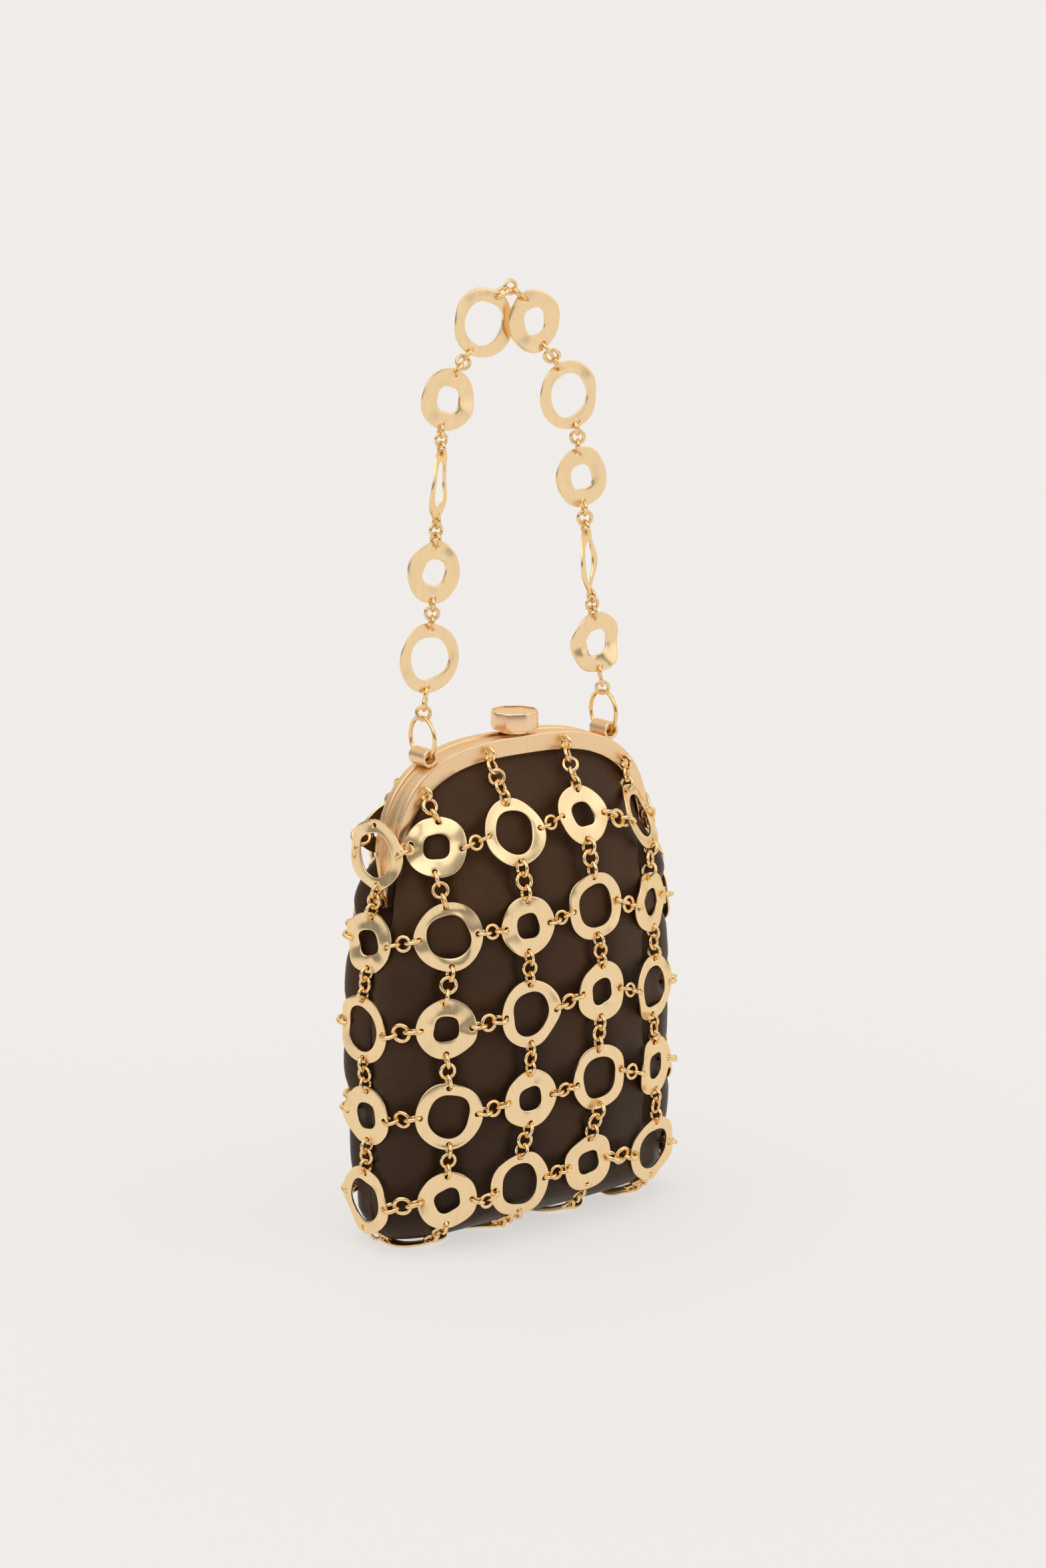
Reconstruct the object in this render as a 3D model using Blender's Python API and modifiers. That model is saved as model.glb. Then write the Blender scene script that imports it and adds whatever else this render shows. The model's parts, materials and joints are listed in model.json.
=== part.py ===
"""Wrist bag: a leather pouch on a hinged metal frame, dressed in a net of
flat rings and jump rings, with a strap of the same rings and a button clasp.
Metres, +Z up, front of the bag towards -Y, origin on the floor under its middle."""

from math import atan2, cos, exp, hypot, pi, radians, sin, sqrt

import bmesh
import bpy
from mathutils import Matrix, Vector

# Flat rings and their spacing, which the pouch, the frame and the strap follow
LARGE_RING_RADIUS = 0.0126
LARGE_RING_HOLE_RADIUS = 0.0080
SMALL_RING_RADIUS = 0.0112
SMALL_RING_HOLE_RADIUS = 0.0051
ROW_GAP = 0.0084
COLUMN_GAP = 0.0073
COLUMN_SPREAD = 0.00035
RING_PAIR = LARGE_RING_RADIUS + SMALL_RING_RADIUS
NET_PITCH = RING_PAIR + ROW_GAP
COLUMN_PITCH = RING_PAIR + COLUMN_GAP
INNER_COLUMN_X = COLUMN_PITCH / 2.0 + COLUMN_SPREAD
OUTER_COLUMN_X = INNER_COLUMN_X + COLUMN_PITCH
NET_ROWS = 5
NET_FOOT_Z = 0.0215

# Frame's outline
HINGE_RISE = 0.0115
HINGE_Z = NET_FOOT_Z + NET_PITCH * (NET_ROWS - 2) + HINGE_RISE
ARCH_OVERHANG = 0.0115
ARCH_HALF_WIDTH = OUTER_COLUMN_X + ARCH_OVERHANG
ARCH_HEIGHT = 0.0549

# Leather pouch below the hinges
BELLY_EASE = 0.0055
FOOT_EASE = 0.0045
RIM_EASE = 0.0025
BAG_HALF_WIDTH = ARCH_HALF_WIDTH + BELLY_EASE
FOOT_HALF_WIDTH = ARCH_HALF_WIDTH + FOOT_EASE
RIM_HALF_WIDTH = ARCH_HALF_WIDTH + RIM_EASE
BAG_HALF_DEPTH = 0.0292
FOOT_HALF_DEPTH = 0.0258
RIM_HALF_DEPTH = 0.0272
FOOT_Z = 0.0040
BELLY_RISE_SHARE = 0.6019
BELLY_Z = HINGE_Z * BELLY_RISE_SHARE
FOOT_RADIUS = 0.0160
LEATHER = 0.0012
LAP_GAP = 0.0009
LAP_DEPTH = 0.0030
GUSSET_TUCK = 0.0130
GUSSET_TUCK_WIDTH = 0.0090
GUSSET_TUCK_LENGTH = 0.0260
SECTION_POWER_SHARE = 2.6
LEATHER_SIDES = 28
PANEL_COLUMNS = 17
PANEL_ROWS = 5
PANEL_FOOT_SHARE = 0.02
HEM_RISE_START_SHARE = 0.74
HEM_RISE_SPAN_SHARE = 0.14
ABOVE_RIM_SHARE = 1.25
EDGE_SHARE = 0.999
LEATHER_LEVEL_SHARES = (0.0, 0.012, 0.04, 0.09, 0.17, 0.36, 0.60, 0.80, 0.90, 1.0)

# Hinged frame
RIM_DROP = 0.0030
ARCH_POWER_SHARE = 3.0
ARCH_STATIONS = 22
ARM_FOOT_SHARE = 0.0265
BAND_TOP = 0.0070
BAND_ARM = 0.0046
HALF_DEPTH = 0.0065
SEAM_GAP = 0.0003
BAND_CHAMFER = 0.0005
SEAM_STEP = 0.0007
SEAM_STEP_WIDTH = 0.0020
CHANNEL_DEPTH = 0.0025
FIT_GAP = 0.0003
CHANNEL_MID_SHARE = 0.57

# Hinge rivets
TAB_THICKNESS = 0.0014
TAB_RADIUS = 0.0036
RIVET_RADIUS = 0.0010
RIVET_HEAD_RADIUS = 0.0022
RIVET_SHOULDER_SHARE = 0.75
TAB_NECK_WIDTH = 0.0036

# Flat rings' thickness and how they lie
RING_THICKNESS = 0.0009
RING_STANDOFF = 0.0026
CORNER_STANDOFF = 0.0042
CORNER_TURN_SHARE = 0.62
CORNER_REACH_SHARE = 1.2

# Jump rings
WIRE = 0.0013
JUMP_RING_RADIUS = 0.0030
LINK_GAP = 0.0007

# Net layout
TOP_ROW_SHARE = 0.377
SIDE_DROOP = 0.0029
INNER_LIFT = 0.0020
TOP_SIDE_RING_GAP = 0.0030
TOP_SIDE_RING_TILT_SHARE = 0.06
BASE_LINK_BULGE = 0.0020

# Hooks on the frame's faces
OUTER_HOOK_SHARE = 0.7726
INNER_HOOK_SHARE = 0.2940
OUTER_HOOK_X = ARCH_HALF_WIDTH * OUTER_HOOK_SHARE
INNER_HOOK_X = ARCH_HALF_WIDTH * INNER_HOOK_SHARE
HOOK_EYE_RADIUS = 0.0017
HOOK_WIRE = 0.0012

# Lug tubes and the wire loops in them
LUG_PLACE_SHARE = 0.6991
LUG_X = ARCH_HALF_WIDTH * LUG_PLACE_SHARE
LUG_RISE = 0.0034
LUG_RADIUS = 0.0033
LUG_BORE_RADIUS = 0.0021
LUG_FRONT_Y = -0.0051
LUG_REAR_Y = 0.0045
LOOP_RADIUS = 0.0076
LOOP_WIRE = 0.0012
LOOP_DROP = 0.0009

# Strap
STRAP_RINGS = 5
STRAP_GAP = 0.0044
STRAP_LENGTH = (RING_PAIR + STRAP_GAP) * STRAP_RINGS
STRAP_FOOT_GAP = 0.0101
STRAP_TOP_X = -0.0017
LINK_LAP_SHARE = 1.3
APEX_LINK_SHARE = 0.32
STRAP_WIRE = 0.0013
HOLE_RADIUS = 0.00135
HOLE_INSET = 0.0020
CROSSED_RING_OFFSET = 0.0015
LEFT_X_SHARES = (0.924, 0.868, 0.807, 0.709, 0.308)
RIGHT_X_SHARES = (0.914, 0.822, 0.736, 0.592, 0.188)
LEFT_Z_SHARES = (0.079, 0.297, 0.518, 0.730, 0.913)
RIGHT_Z_SHARES = (0.062, 0.276, 0.501, 0.716, 0.912)
LEFT_LEANS = (5.6, 4.4, 6.1, 20.1, 30.0)
RIGHT_LEANS = (-8.1, -6.7, -8.6, -21.1, -27.0)
LEFT_TURNS = (0.0, 0.0, 52.0, 0.0, 0.0)
RIGHT_TURNS = (0.0, 52.0, 0.0, 0.0, 0.0)
LEFT_LARGE = (True, False, True, False, True)
RIGHT_LARGE = (False, True, False, True, False)

# Clasp
CAP_RADIUS = 0.0088
CAP_HEIGHT = 0.0066
CAP_WALL = 0.0011
CAP_RECESS = 0.0008
CAP_FLOOR = 0.0012
CAP_FLAT_SHARE = 0.95
CAP_SIDES = 8
COLLAR_RADIUS = 0.0052
COLLAR_HEIGHT = 0.0022
STEM_RADIUS = 0.0019
STEM_GAP = 0.0004
PRESS_TRAVEL = 0.0012
SPRING_RADIUS = 0.0031
SPRING_WIRE = 0.0005
SPRING_TURNS = 3
CATCH_LENGTH = 0.0100
CATCH_DEPTH = 0.0050
CATCH_THICKNESS = 0.0011

OVERRUN = 0.0010
HALF_SHARE = 0.5
MERGE_SHARE = 0.01

SIDE_LEFT, SIDE_RIGHT = 0, 5
COLUMNS = 10
PART = "wrist_bag"


def clear_scene():
    for old in list(bpy.data.objects):
        bpy.data.objects.remove(old, do_unlink=True)


def new_collection(name):
    made = bpy.data.collections.new(name)
    bpy.context.scene.collection.children.link(made)
    return made


def material(name, color, roughness, metallic):
    made = bpy.data.materials.new(name)
    made.use_nodes = True
    shader = made.node_tree.nodes["Principled BSDF"]
    shader.inputs["Base Color"].default_value = (*color, 1.0)
    shader.inputs["Roughness"].default_value = roughness
    shader.inputs["Metallic"].default_value = metallic
    return made


GOLD = (0.83, 0.60, 0.33)
ROSE_GOLD = (0.85, 0.58, 0.36)
DARK_LEATHER = (0.040, 0.026, 0.020)


class Model:
    """Holds the two collections and the finished sub-parts by name."""

    def __init__(self):
        self.parts = new_collection(PART)
        self.cutters = new_collection(PART + "_cutters")

    def add(self, name, bm, color=GOLD, roughness=0.35, metallic=1.0, origin=None):
        """Make an object of a bmesh, with its origin on its joint's axis if it has one."""
        bmesh.ops.recalc_face_normals(bm, faces=bm.faces)
        mesh = bpy.data.meshes.new(name)
        if origin is not None:
            bmesh.ops.translate(bm, vec=-Vector(origin), verts=bm.verts)
        bm.to_mesh(mesh)
        bm.free()
        obj = bpy.data.objects.new(name, mesh)
        if origin is not None:
            obj.location = origin
        mesh.materials.append(material(name, color, roughness, metallic))
        mesh.shade_smooth()
        mesh.set_sharp_from_angle(angle=radians(30.0))
        self.parts.objects.link(obj)
        return obj

    def cutter(self, name, bm):
        bmesh.ops.recalc_face_normals(bm, faces=bm.faces)
        mesh = bpy.data.meshes.new(name)
        bm.to_mesh(mesh)
        bm.free()
        obj = bpy.data.objects.new(name, mesh)
        obj.hide_render = True
        obj.display_type = "WIRE"
        self.cutters.objects.link(obj)
        return obj


def boolean(obj, other, operation):
    made = obj.modifiers.new(operation.lower() + "_" + other.name, "BOOLEAN")
    made.object = other
    made.operation = operation
    made.solver = "EXACT"


def solidify(obj, thickness):
    made = obj.modifiers.new("wall", "SOLIDIFY")
    made.thickness = thickness
    made.offset = -1.0
    made.use_even_offset = True


# Surfaces of the pouch

def eased(start, end, share):
    return start + (end - start) * share * share


def pouch_axes(z):
    """Half width and half depth of the pouch's outer surface at a height."""
    rim_z = HINGE_Z - RIM_DROP
    if z >= BELLY_Z:
        share = min((z - BELLY_Z) / (rim_z - BELLY_Z), ABOVE_RIM_SHARE)
        width = eased(BAG_HALF_WIDTH, RIM_HALF_WIDTH, share)
        depth = eased(BAG_HALF_DEPTH, RIM_HALF_DEPTH, share)
    else:
        share = (BELLY_Z - z) / (BELLY_Z - FOOT_Z)
        width = eased(BAG_HALF_WIDTH, FOOT_HALF_WIDTH, share)
        depth = eased(BAG_HALF_DEPTH, FOOT_HALF_DEPTH, share)
    height = z - FOOT_Z
    if height < FOOT_RADIUS:
        rise = FOOT_RADIUS - max(height, 0.0)
        pull = FOOT_RADIUS - sqrt(FOOT_RADIUS ** 2 - rise ** 2)
        width -= pull
        depth -= pull
    return width, depth


def pouch_depth(x, z):
    width, depth = pouch_axes(z)
    share = min(abs(x) / width, EDGE_SHARE)
    return depth * (1.0 - share ** SECTION_POWER_SHARE) ** (1.0 / SECTION_POWER_SHARE)


def arch_line(inset_side, inset_top):
    return ARCH_HALF_WIDTH - inset_side, ARCH_HEIGHT - inset_top


def arch_z(x, inset_side, inset_top):
    half_width, height = arch_line(inset_side, inset_top)
    share = min(abs(x) / half_width, EDGE_SHARE)
    return HINGE_Z + height * (1.0 - share ** ARCH_POWER_SHARE) ** (1.0 / ARCH_POWER_SHARE)


LUG_Z = arch_z(LUG_X, 0.0, 0.0) + LUG_RISE
LOOP_Z = LUG_Z - LOOP_DROP + LOOP_RADIUS

SEAT_SIDE = BAND_ARM - CHANNEL_DEPTH + FIT_GAP
SEAT_TOP = BAND_TOP - CHANNEL_DEPTH + FIT_GAP
CHANNEL_MID = HALF_DEPTH * CHANNEL_MID_SHARE


def panel_hem_depth(x):
    """Depth of the upper leather at the hinge's height, inside the pouch's rim."""
    inset = LEATHER + LAP_GAP
    width, depth = RIM_HALF_WIDTH - inset, RIM_HALF_DEPTH - inset
    share = min(abs(x) / width, EDGE_SHARE)
    return depth * (1.0 - share ** SECTION_POWER_SHARE) ** (1.0 / SECTION_POWER_SHARE)


def panel_depth(x, z):
    """Depth of the upper leather's outer surface, bulging out below the frame's band."""
    edge = CHANNEL_MID + LEATHER * HALF_SHARE
    free_x = arch_line(BAND_ARM + FIT_GAP, 0.0)[0]
    if abs(x) >= free_x:
        return edge
    free_z = arch_z(x, BAND_ARM + FIT_GAP, BAND_TOP + FIT_GAP)
    hem = max(panel_hem_depth(x), edge)
    share = min(max((free_z - z) / (free_z - HINGE_Z), 0.0), 1.0)
    return edge + (hem - edge) * sin(share * pi / 2.0)


# Lofts

def loft(bm, loops, closed=True):
    """Bridge a list of vertex rings, each a list of points of the same count."""
    rows = [[bm.verts.new(point) for point in loop] for loop in loops]
    count = len(rows[0])
    last = count if closed else count - 1
    for lower, upper in zip(rows, rows[1:]):
        for i in range(last):
            j = (i + 1) % count
            bm.faces.new((lower[i], lower[j], upper[j], upper[i]))
    return rows


def leather_pouch(model):
    bm = bmesh.new()
    rim_z = HINGE_Z - RIM_DROP
    loops = []
    for level in LEATHER_LEVEL_SHARES:
        z = FOOT_Z + (rim_z - FOOT_Z) * level
        width, depth = pouch_axes(z)
        tuck_share = max(1.0 - (rim_z - z) / GUSSET_TUCK_LENGTH, 0.0)
        loop = []
        for i in range(LEATHER_SIDES):
            angle = 2.0 * pi * (i + HALF_SHARE) / LEATHER_SIDES
            c, s = cos(angle), sin(angle)
            x = width * abs(c) ** (2.0 / SECTION_POWER_SHARE) * (1.0 if c > 0.0 else -1.0)
            y = depth * abs(s) ** (2.0 / SECTION_POWER_SHARE) * (1.0 if s > 0.0 else -1.0)
            tuck = GUSSET_TUCK * tuck_share * exp(-((y / GUSSET_TUCK_WIDTH) ** 2))
            side_share = min(abs(x) / width, 1.0) ** 4
            x -= tuck * side_share * (1.0 if x > 0.0 else -1.0)
            loop.append((x, y, z))
        loops.append(loop)
    rows = loft(bm, loops)
    bm.faces.new(rows[0])
    obj = model.add("leather_pouch", bm, DARK_LEATHER, 0.5, 0.0)
    solidify(obj, LEATHER)


def panel_hem_z(x):
    """The upper leather's lower edge laps inside the pouch and clears the hinges."""
    low = HINGE_Z - RIM_DROP - LAP_DEPTH
    high = HINGE_Z + TAB_RADIUS + 2.0 * FIT_GAP
    share = (abs(x) / ARCH_HALF_WIDTH - HEM_RISE_START_SHARE) / HEM_RISE_SPAN_SHARE
    return low + (high - low) * min(max(share, 0.0), 1.0)


def leather_panel(model, name, side):
    """Upper leather held in one half of the frame; side is -1 in front, 1 behind."""
    bm = bmesh.new()
    bmesh.ops.create_grid(bm, x_segments=PANEL_COLUMNS + 1, y_segments=PANEL_ROWS + 1, size=1.0)
    seat_width, seat_height = arch_line(SEAT_SIDE, SEAT_TOP)
    free_width, free_height = arch_line(BAND_ARM + FIT_GAP, BAND_TOP + FIT_GAP)
    power = 2.0 / ARCH_POWER_SHARE
    first = pi * PANEL_FOOT_SHARE
    for vert in bm.verts:
        angle = first + (pi - 2.0 * first) * (1.0 - vert.co.x) * HALF_SHARE
        level = round((1.0 - vert.co.y) * HALF_SHARE * (PANEL_ROWS + 1))
        across = abs(cos(angle)) ** power * (1.0 if cos(angle) > 0.0 else -1.0)
        up = sin(angle) ** power
        x, z = free_width * across, HINGE_Z + free_height * up
        depth = panel_depth(x, z)
        if level == 0:
            x, z = seat_width * across, HINGE_Z + seat_height * up
        elif level > 1:
            z += (panel_hem_z(x) - z) * (level - 1) / PANEL_ROWS
            depth = panel_depth(x, z)
        vert.co = (x, side * depth, z)
    bmesh.ops.recalc_face_normals(bm, faces=bm.faces)
    middle = min(bm.faces, key=lambda face: abs(face.calc_center_median().x))
    if middle.normal.y * side < 0.0:
        bmesh.ops.reverse_faces(bm, faces=bm.faces)
    mesh = bpy.data.meshes.new(name)
    bm.to_mesh(mesh)
    bm.free()
    mesh.shade_smooth()
    mesh.materials.append(material(name, DARK_LEATHER, 0.5, 0.0))
    obj = bpy.data.objects.new(name, mesh)
    model.parts.objects.link(obj)
    solidify(obj, LEATHER)


# Frame

def band_section():
    """One half's section as side inset, top inset and depth from the seam's plane."""
    seam = SEAM_GAP * HALF_SHARE
    low, high = BAND_ARM, BAND_TOP
    near = CHANNEL_MID - LEATHER * HALF_SHARE - FIT_GAP
    far = CHANNEL_MID + LEATHER * HALF_SHARE + FIT_GAP
    deep = CHANNEL_DEPTH
    return (
        (BAND_CHAMFER, BAND_CHAMFER, HALF_DEPTH),
        (0.0, 0.0, HALF_DEPTH - BAND_CHAMFER),
        (0.0, 0.0, SEAM_STEP_WIDTH + SEAM_STEP),
        (SEAM_STEP, SEAM_STEP, SEAM_STEP_WIDTH),
        (SEAM_STEP, SEAM_STEP, seam),
        (low, high, seam),
        (low, high, near),
        (low - deep, high - deep, near),
        (low - deep, high - deep, far),
        (low, high, far),
        (low, high, HALF_DEPTH),
    )


def arch_point(angle, inset_side, inset_top, y):
    half_width, height = arch_line(inset_side, inset_top)
    c, s = cos(angle), sin(angle)
    x = half_width * abs(c) ** (2.0 / ARCH_POWER_SHARE) * (1.0 if c > 0.0 else -1.0)
    return x, y, HINGE_Z + height * s ** (2.0 / ARCH_POWER_SHARE)


def cylinder(bm, radius, depth, place, segments=12):
    made = bmesh.ops.create_cone(bm, cap_ends=True, segments=segments, radius1=radius,
                                 radius2=radius, depth=depth, matrix=place)
    return made["verts"]


def along_x(point):
    return Matrix.Translation(point) @ Matrix.Rotation(pi / 2.0, 4, "Y")


def along_y(point):
    return Matrix.Translation(point) @ Matrix.Rotation(pi / 2.0, 4, "X")


def box(bm, low, high):
    low, high = Vector(low), Vector(high)
    middle = (low + high) / 2.0
    size = Matrix.Diagonal((*(high - low), 1.0))
    bmesh.ops.create_cube(bm, size=1.0, matrix=Matrix.Translation(middle) @ size)


def tab_x(side):
    """Inner face of the hinge tab: the front half's tab lies outside the rear's."""
    outer = ARCH_HALF_WIDTH - TAB_THICKNESS
    return outer if side < 0 else outer - TAB_THICKNESS - FIT_GAP


def frame_half(model, name, side):
    bm = bmesh.new()
    first = pi * HALF_SHARE * ARM_FOOT_SHARE
    loops = []
    for i in range(ARCH_STATIONS + 1):
        angle = first + (pi - 2.0 * first) * i / ARCH_STATIONS
        loops.append([arch_point(angle, a, b, side * y) for a, b, y in band_section()])
    rows = loft(bm, loops)
    bm.faces.new(rows[0])
    bm.faces.new(rows[-1])
    obj = model.add(name, bm, GOLD, 0.32)
    foot = arch_point(first, 0.0, 0.0, 0.0)[2]
    for hand in (-1.0, 1.0):
        label = name + ("_left" if hand < 0.0 else "_right")
        inner = tab_x(side)
        middle = hand * (inner + TAB_THICKNESS * HALF_SHARE)
        tab = bmesh.new()
        cylinder(tab, TAB_RADIUS, TAB_THICKNESS, along_x((middle, 0.0, HINGE_Z)), 16)
        boolean(obj, model.cutter(label + "_tab", tab), "UNION")
        neck = bmesh.new()
        reach = side * (FIT_GAP + TAB_NECK_WIDTH)
        low_y, high_y = sorted((side * FIT_GAP, reach))
        box(neck, (hand * inner, low_y, HINGE_Z),
            (hand * (inner + TAB_THICKNESS), high_y, foot + OVERRUN))
        boolean(obj, model.cutter(label + "_neck", neck), "UNION")
        bore = bmesh.new()
        cylinder(bore, RIVET_RADIUS + FIT_GAP, TAB_THICKNESS + OVERRUN,
                 along_x((middle, 0.0, HINGE_Z)))
        boolean(obj, model.cutter(label + "_bore", bore), "DIFFERENCE")
        saddle = bmesh.new()
        cylinder(saddle, LUG_RADIUS + FIT_GAP, 2.0 * HALF_DEPTH + OVERRUN,
                 along_y((hand * LUG_X, 0.0, LUG_Z)), 14)
        boolean(obj, model.cutter(label + "_saddle", saddle), "DIFFERENCE")
        for kind, x in (("inner", INNER_HOOK_X), ("outer", OUTER_HOOK_X)):
            eye = hook_eye(hand * x, side)
            boolean(obj, model.cutter(label + "_eye_" + kind, eye), "UNION")
    notch = bmesh.new()
    top = HINGE_Z + ARCH_HEIGHT
    cylinder(notch, STEM_RADIUS + STEM_GAP, BAND_TOP + 2.0 * OVERRUN,
             Matrix.Translation((0.0, 0.0, top - BAND_TOP * HALF_SHARE)))
    boolean(obj, model.cutter(name + "_notch", notch), "DIFFERENCE")
    return obj


def hook_z(x):
    """Middle of the band's face at this place across the bag."""
    outer = arch_z(x, 0.0, 0.0)
    inner = arch_z(x, BAND_ARM, BAND_TOP)
    return outer + (inner - outer) * HALF_SHARE


def hook_centre(x, side):
    return Vector((x, side * (HALF_DEPTH + HOOK_EYE_RADIUS * HALF_SHARE), hook_z(x)))


def hook_eye(x, side):
    """Wire eye standing off the frame's face, its hole running across the bag."""
    bm = bmesh.new()
    wire_ring(bm, HOOK_EYE_RADIUS, HOOK_WIRE, 6, 4)
    place = Matrix.Translation(hook_centre(x, side)) @ Matrix.Rotation(pi / 2.0, 4, "Y")
    bmesh.ops.transform(bm, matrix=place, verts=bm.verts)
    return bm


def wire_ring(bm, radius, wire, steps, sides):
    """Ring of wire in the XY plane, its first section on the X axis."""
    profile = bmesh.ops.create_circle(bm, segments=sides, radius=wire * HALF_SHARE)["verts"]
    turn = Matrix.Rotation(pi / 2.0, 4, "X")
    tip_inwards = Matrix.Rotation(-pi / 2.0, 4, "Z")
    place = Matrix.Translation((radius, 0.0, 0.0)) @ turn @ tip_inwards.inverted()
    bmesh.ops.transform(bm, matrix=place, verts=profile)
    edges = list({edge for vert in profile for edge in vert.link_edges})
    bmesh.ops.spin(bm, geom=profile + edges, cent=(0.0, 0.0, 0.0), axis=(0.0, 0.0, 1.0),
                   angle=2.0 * pi, steps=steps, use_merge=True)
    bmesh.ops.remove_doubles(bm, verts=bm.verts, dist=wire * MERGE_SHARE)


def rivets(model):
    inner = tab_x(1.0) - FIT_GAP
    outer = tab_x(-1.0) + TAB_THICKNESS + FIT_GAP
    for hand, label in ((-1.0, "left"), (1.0, "right")):
        bm = bmesh.new()
        head = RIVET_HEAD_RADIUS
        shoulder = head * RIVET_SHOULDER_SHARE
        profile = [(inner - RIVET_RADIUS, 0.0), (inner - RIVET_RADIUS, shoulder),
                   (inner, shoulder), (inner, RIVET_RADIUS), (outer, RIVET_RADIUS)]
        for step in range(4):
            angle = pi / 2.0 * step / 3.0
            profile.append((outer + head * sin(angle), head * cos(angle)))
        points = [bm.verts.new((hand * x, 0.0, r)) for x, r in profile]
        edges = [bm.edges.new(pair) for pair in zip(points, points[1:])]
        bmesh.ops.spin(bm, geom=points + edges, cent=(0.0, 0.0, 0.0), axis=(1.0, 0.0, 0.0),
                       angle=2.0 * pi, steps=10, use_merge=True)
        bmesh.ops.remove_doubles(bm, verts=bm.verts, dist=RIVET_RADIUS * MERGE_SHARE)
        bmesh.ops.translate(bm, vec=(0.0, 0.0, HINGE_Z), verts=bm.verts)
        model.add("hinge_rivet_" + label, bm, GOLD, 0.25, origin=(hand * inner, 0.0, HINGE_Z))


# Net of flat rings and jump rings

def ring_is_large(column, row):
    return (column + row) % 2 == 1


def ring_radius(large):
    return LARGE_RING_RADIUS if large else SMALL_RING_RADIUS


def net_height(column, row):
    z = NET_FOOT_Z + NET_PITCH * (NET_ROWS - row)
    if row == 1:
        z = HINGE_Z + ARCH_HEIGHT * TOP_ROW_SHARE
    if column in (SIDE_LEFT, SIDE_RIGHT):
        return z - SIDE_DROOP
    inner = column % 5 in (2, 3)
    return z + (INNER_LIFT if inner else 0.0)


def column_x(column):
    outer = column % 5 in (1, 4)
    x = OUTER_COLUMN_X if outer else INNER_COLUMN_X
    left = column in (1, 2, 8, 9)
    return -x if left else x


def column_side(column):
    return -1.0 if column < SIDE_RIGHT else 1.0


def plate_frame(column, row):
    """Place of a flat ring: X runs round the bag, Y up and Z out of it."""
    z = net_height(column, row)
    reach = ring_radius(ring_is_large(column, row)) * HALF_SHARE
    if column in (SIDE_LEFT, SIDE_RIGHT):
        hand = -1.0 if column == SIDE_LEFT else 1.0
        if row == 1:
            middle = Vector((hand * (ARCH_HALF_WIDTH + TOP_SIDE_RING_GAP), 0.0, z))
            up = Vector((-hand * TOP_SIDE_RING_TILT_SHARE, 0.0, 1.0)).normalized()
        else:
            low = Vector((hand * pouch_axes(z - reach)[0], 0.0, z - reach))
            high = Vector((hand * pouch_axes(z + reach)[0], 0.0, z + reach))
            up = (high - low).normalized()
            middle = (high + low) / 2.0
        across = Vector((0.0, hand, 0.0))
        out = across.cross(up).normalized()
        if row > 1:
            middle += out * RING_STANDOFF
    else:
        side = column_side(column)
        x = column_x(column)
        depth = panel_depth if row == 1 else pouch_depth
        points = [Vector((x + dx, side * depth(x + dx, z + dz), z + dz))
                  for dx, dz in ((-reach, 0.0), (reach, 0.0), (0.0, -reach), (0.0, reach))]
        across, up = points[1] - points[0], (points[3] - points[2]).normalized()
        standoff = RING_STANDOFF
        if row == 1 and abs(x) == OUTER_COLUMN_X:
            across.y *= CORNER_TURN_SHARE
            standoff = CORNER_STANDOFF
        across = across.normalized() * -side
        out = across.cross(up).normalized()
        up = out.cross(across).normalized()
        middle = Vector((x, side * depth(x, z), z)) + out * standoff
    axes = Matrix((across, up, out)).transposed().to_4x4()
    return Matrix.Translation(middle) @ axes


def flat_ring(bm, large, place):
    """Flat ring with soft corners. Returns its four narrow rim faces by direction."""
    radius = ring_radius(large)
    hole = LARGE_RING_HOLE_RADIUS if large else SMALL_RING_HOLE_RADIUS
    rim = bmesh.ops.create_circle(bm, segments=12, radius=radius)["verts"]
    turn = Matrix.Rotation(pi / 12.0, 3, "Z")
    bmesh.ops.rotate(bm, verts=rim, cent=(0.0, 0.0, 0.0), matrix=turn)
    for vert in rim:
        x, y = vert.co.x, vert.co.y
        if abs(abs(x) - abs(y)) > WIRE:
            along = Vector((1.0 if x > 0.0 else -1.0, 0.0, 0.0))
            if abs(y) > abs(x):
                along = Vector((0.0, 1.0 if y > 0.0 else -1.0, 0.0))
            over = vert.co - along * vert.co.dot(along)
            vert.co = along * radius + over.normalized() * WIRE * HALF_SHARE
    inner = bmesh.ops.create_circle(bm, segments=8, radius=hole)["verts"]
    turn = Matrix.Rotation(pi / 8.0, 3, "Z")
    bmesh.ops.rotate(bm, verts=inner, cent=(0.0, 0.0, 0.0), matrix=turn)
    edges = list({edge for vert in rim + inner for edge in vert.link_edges})
    faces = bmesh.ops.bridge_loops(bm, edges=edges)["faces"]
    low = [vert for vert in rim + inner]
    bmesh.ops.translate(bm, vec=(0.0, 0.0, -RING_THICKNESS * HALF_SHARE), verts=low)
    extruded = bmesh.ops.extrude_face_region(bm, geom=faces, use_keep_orig=True)["geom"]
    high = [item for item in extruded if isinstance(item, bmesh.types.BMVert)]
    bmesh.ops.translate(bm, vec=(0.0, 0.0, RING_THICKNESS), verts=high)
    walls = {}
    directions = {"next": (radius, 0.0), "up": (0.0, radius), "last": (-radius, 0.0),
                  "down": (0.0, -radius)}
    near = {face for vert in low for face in vert.link_faces}
    for key, (x, y) in directions.items():
        target = Vector((x, y, 0.0))
        walls[key] = min(near, key=lambda f: (f.calc_center_median() - target).length)
    bmesh.ops.transform(bm, matrix=place, verts=low + high)
    return walls


def centre(face):
    return face.calc_center_median()


def bridge(bm, first, second):
    edges = list(first.edges) + list(second.edges)
    bmesh.ops.delete(bm, geom=[first, second], context="FACES_ONLY")
    bmesh.ops.bridge_loops(bm, edges=edges)


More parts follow.
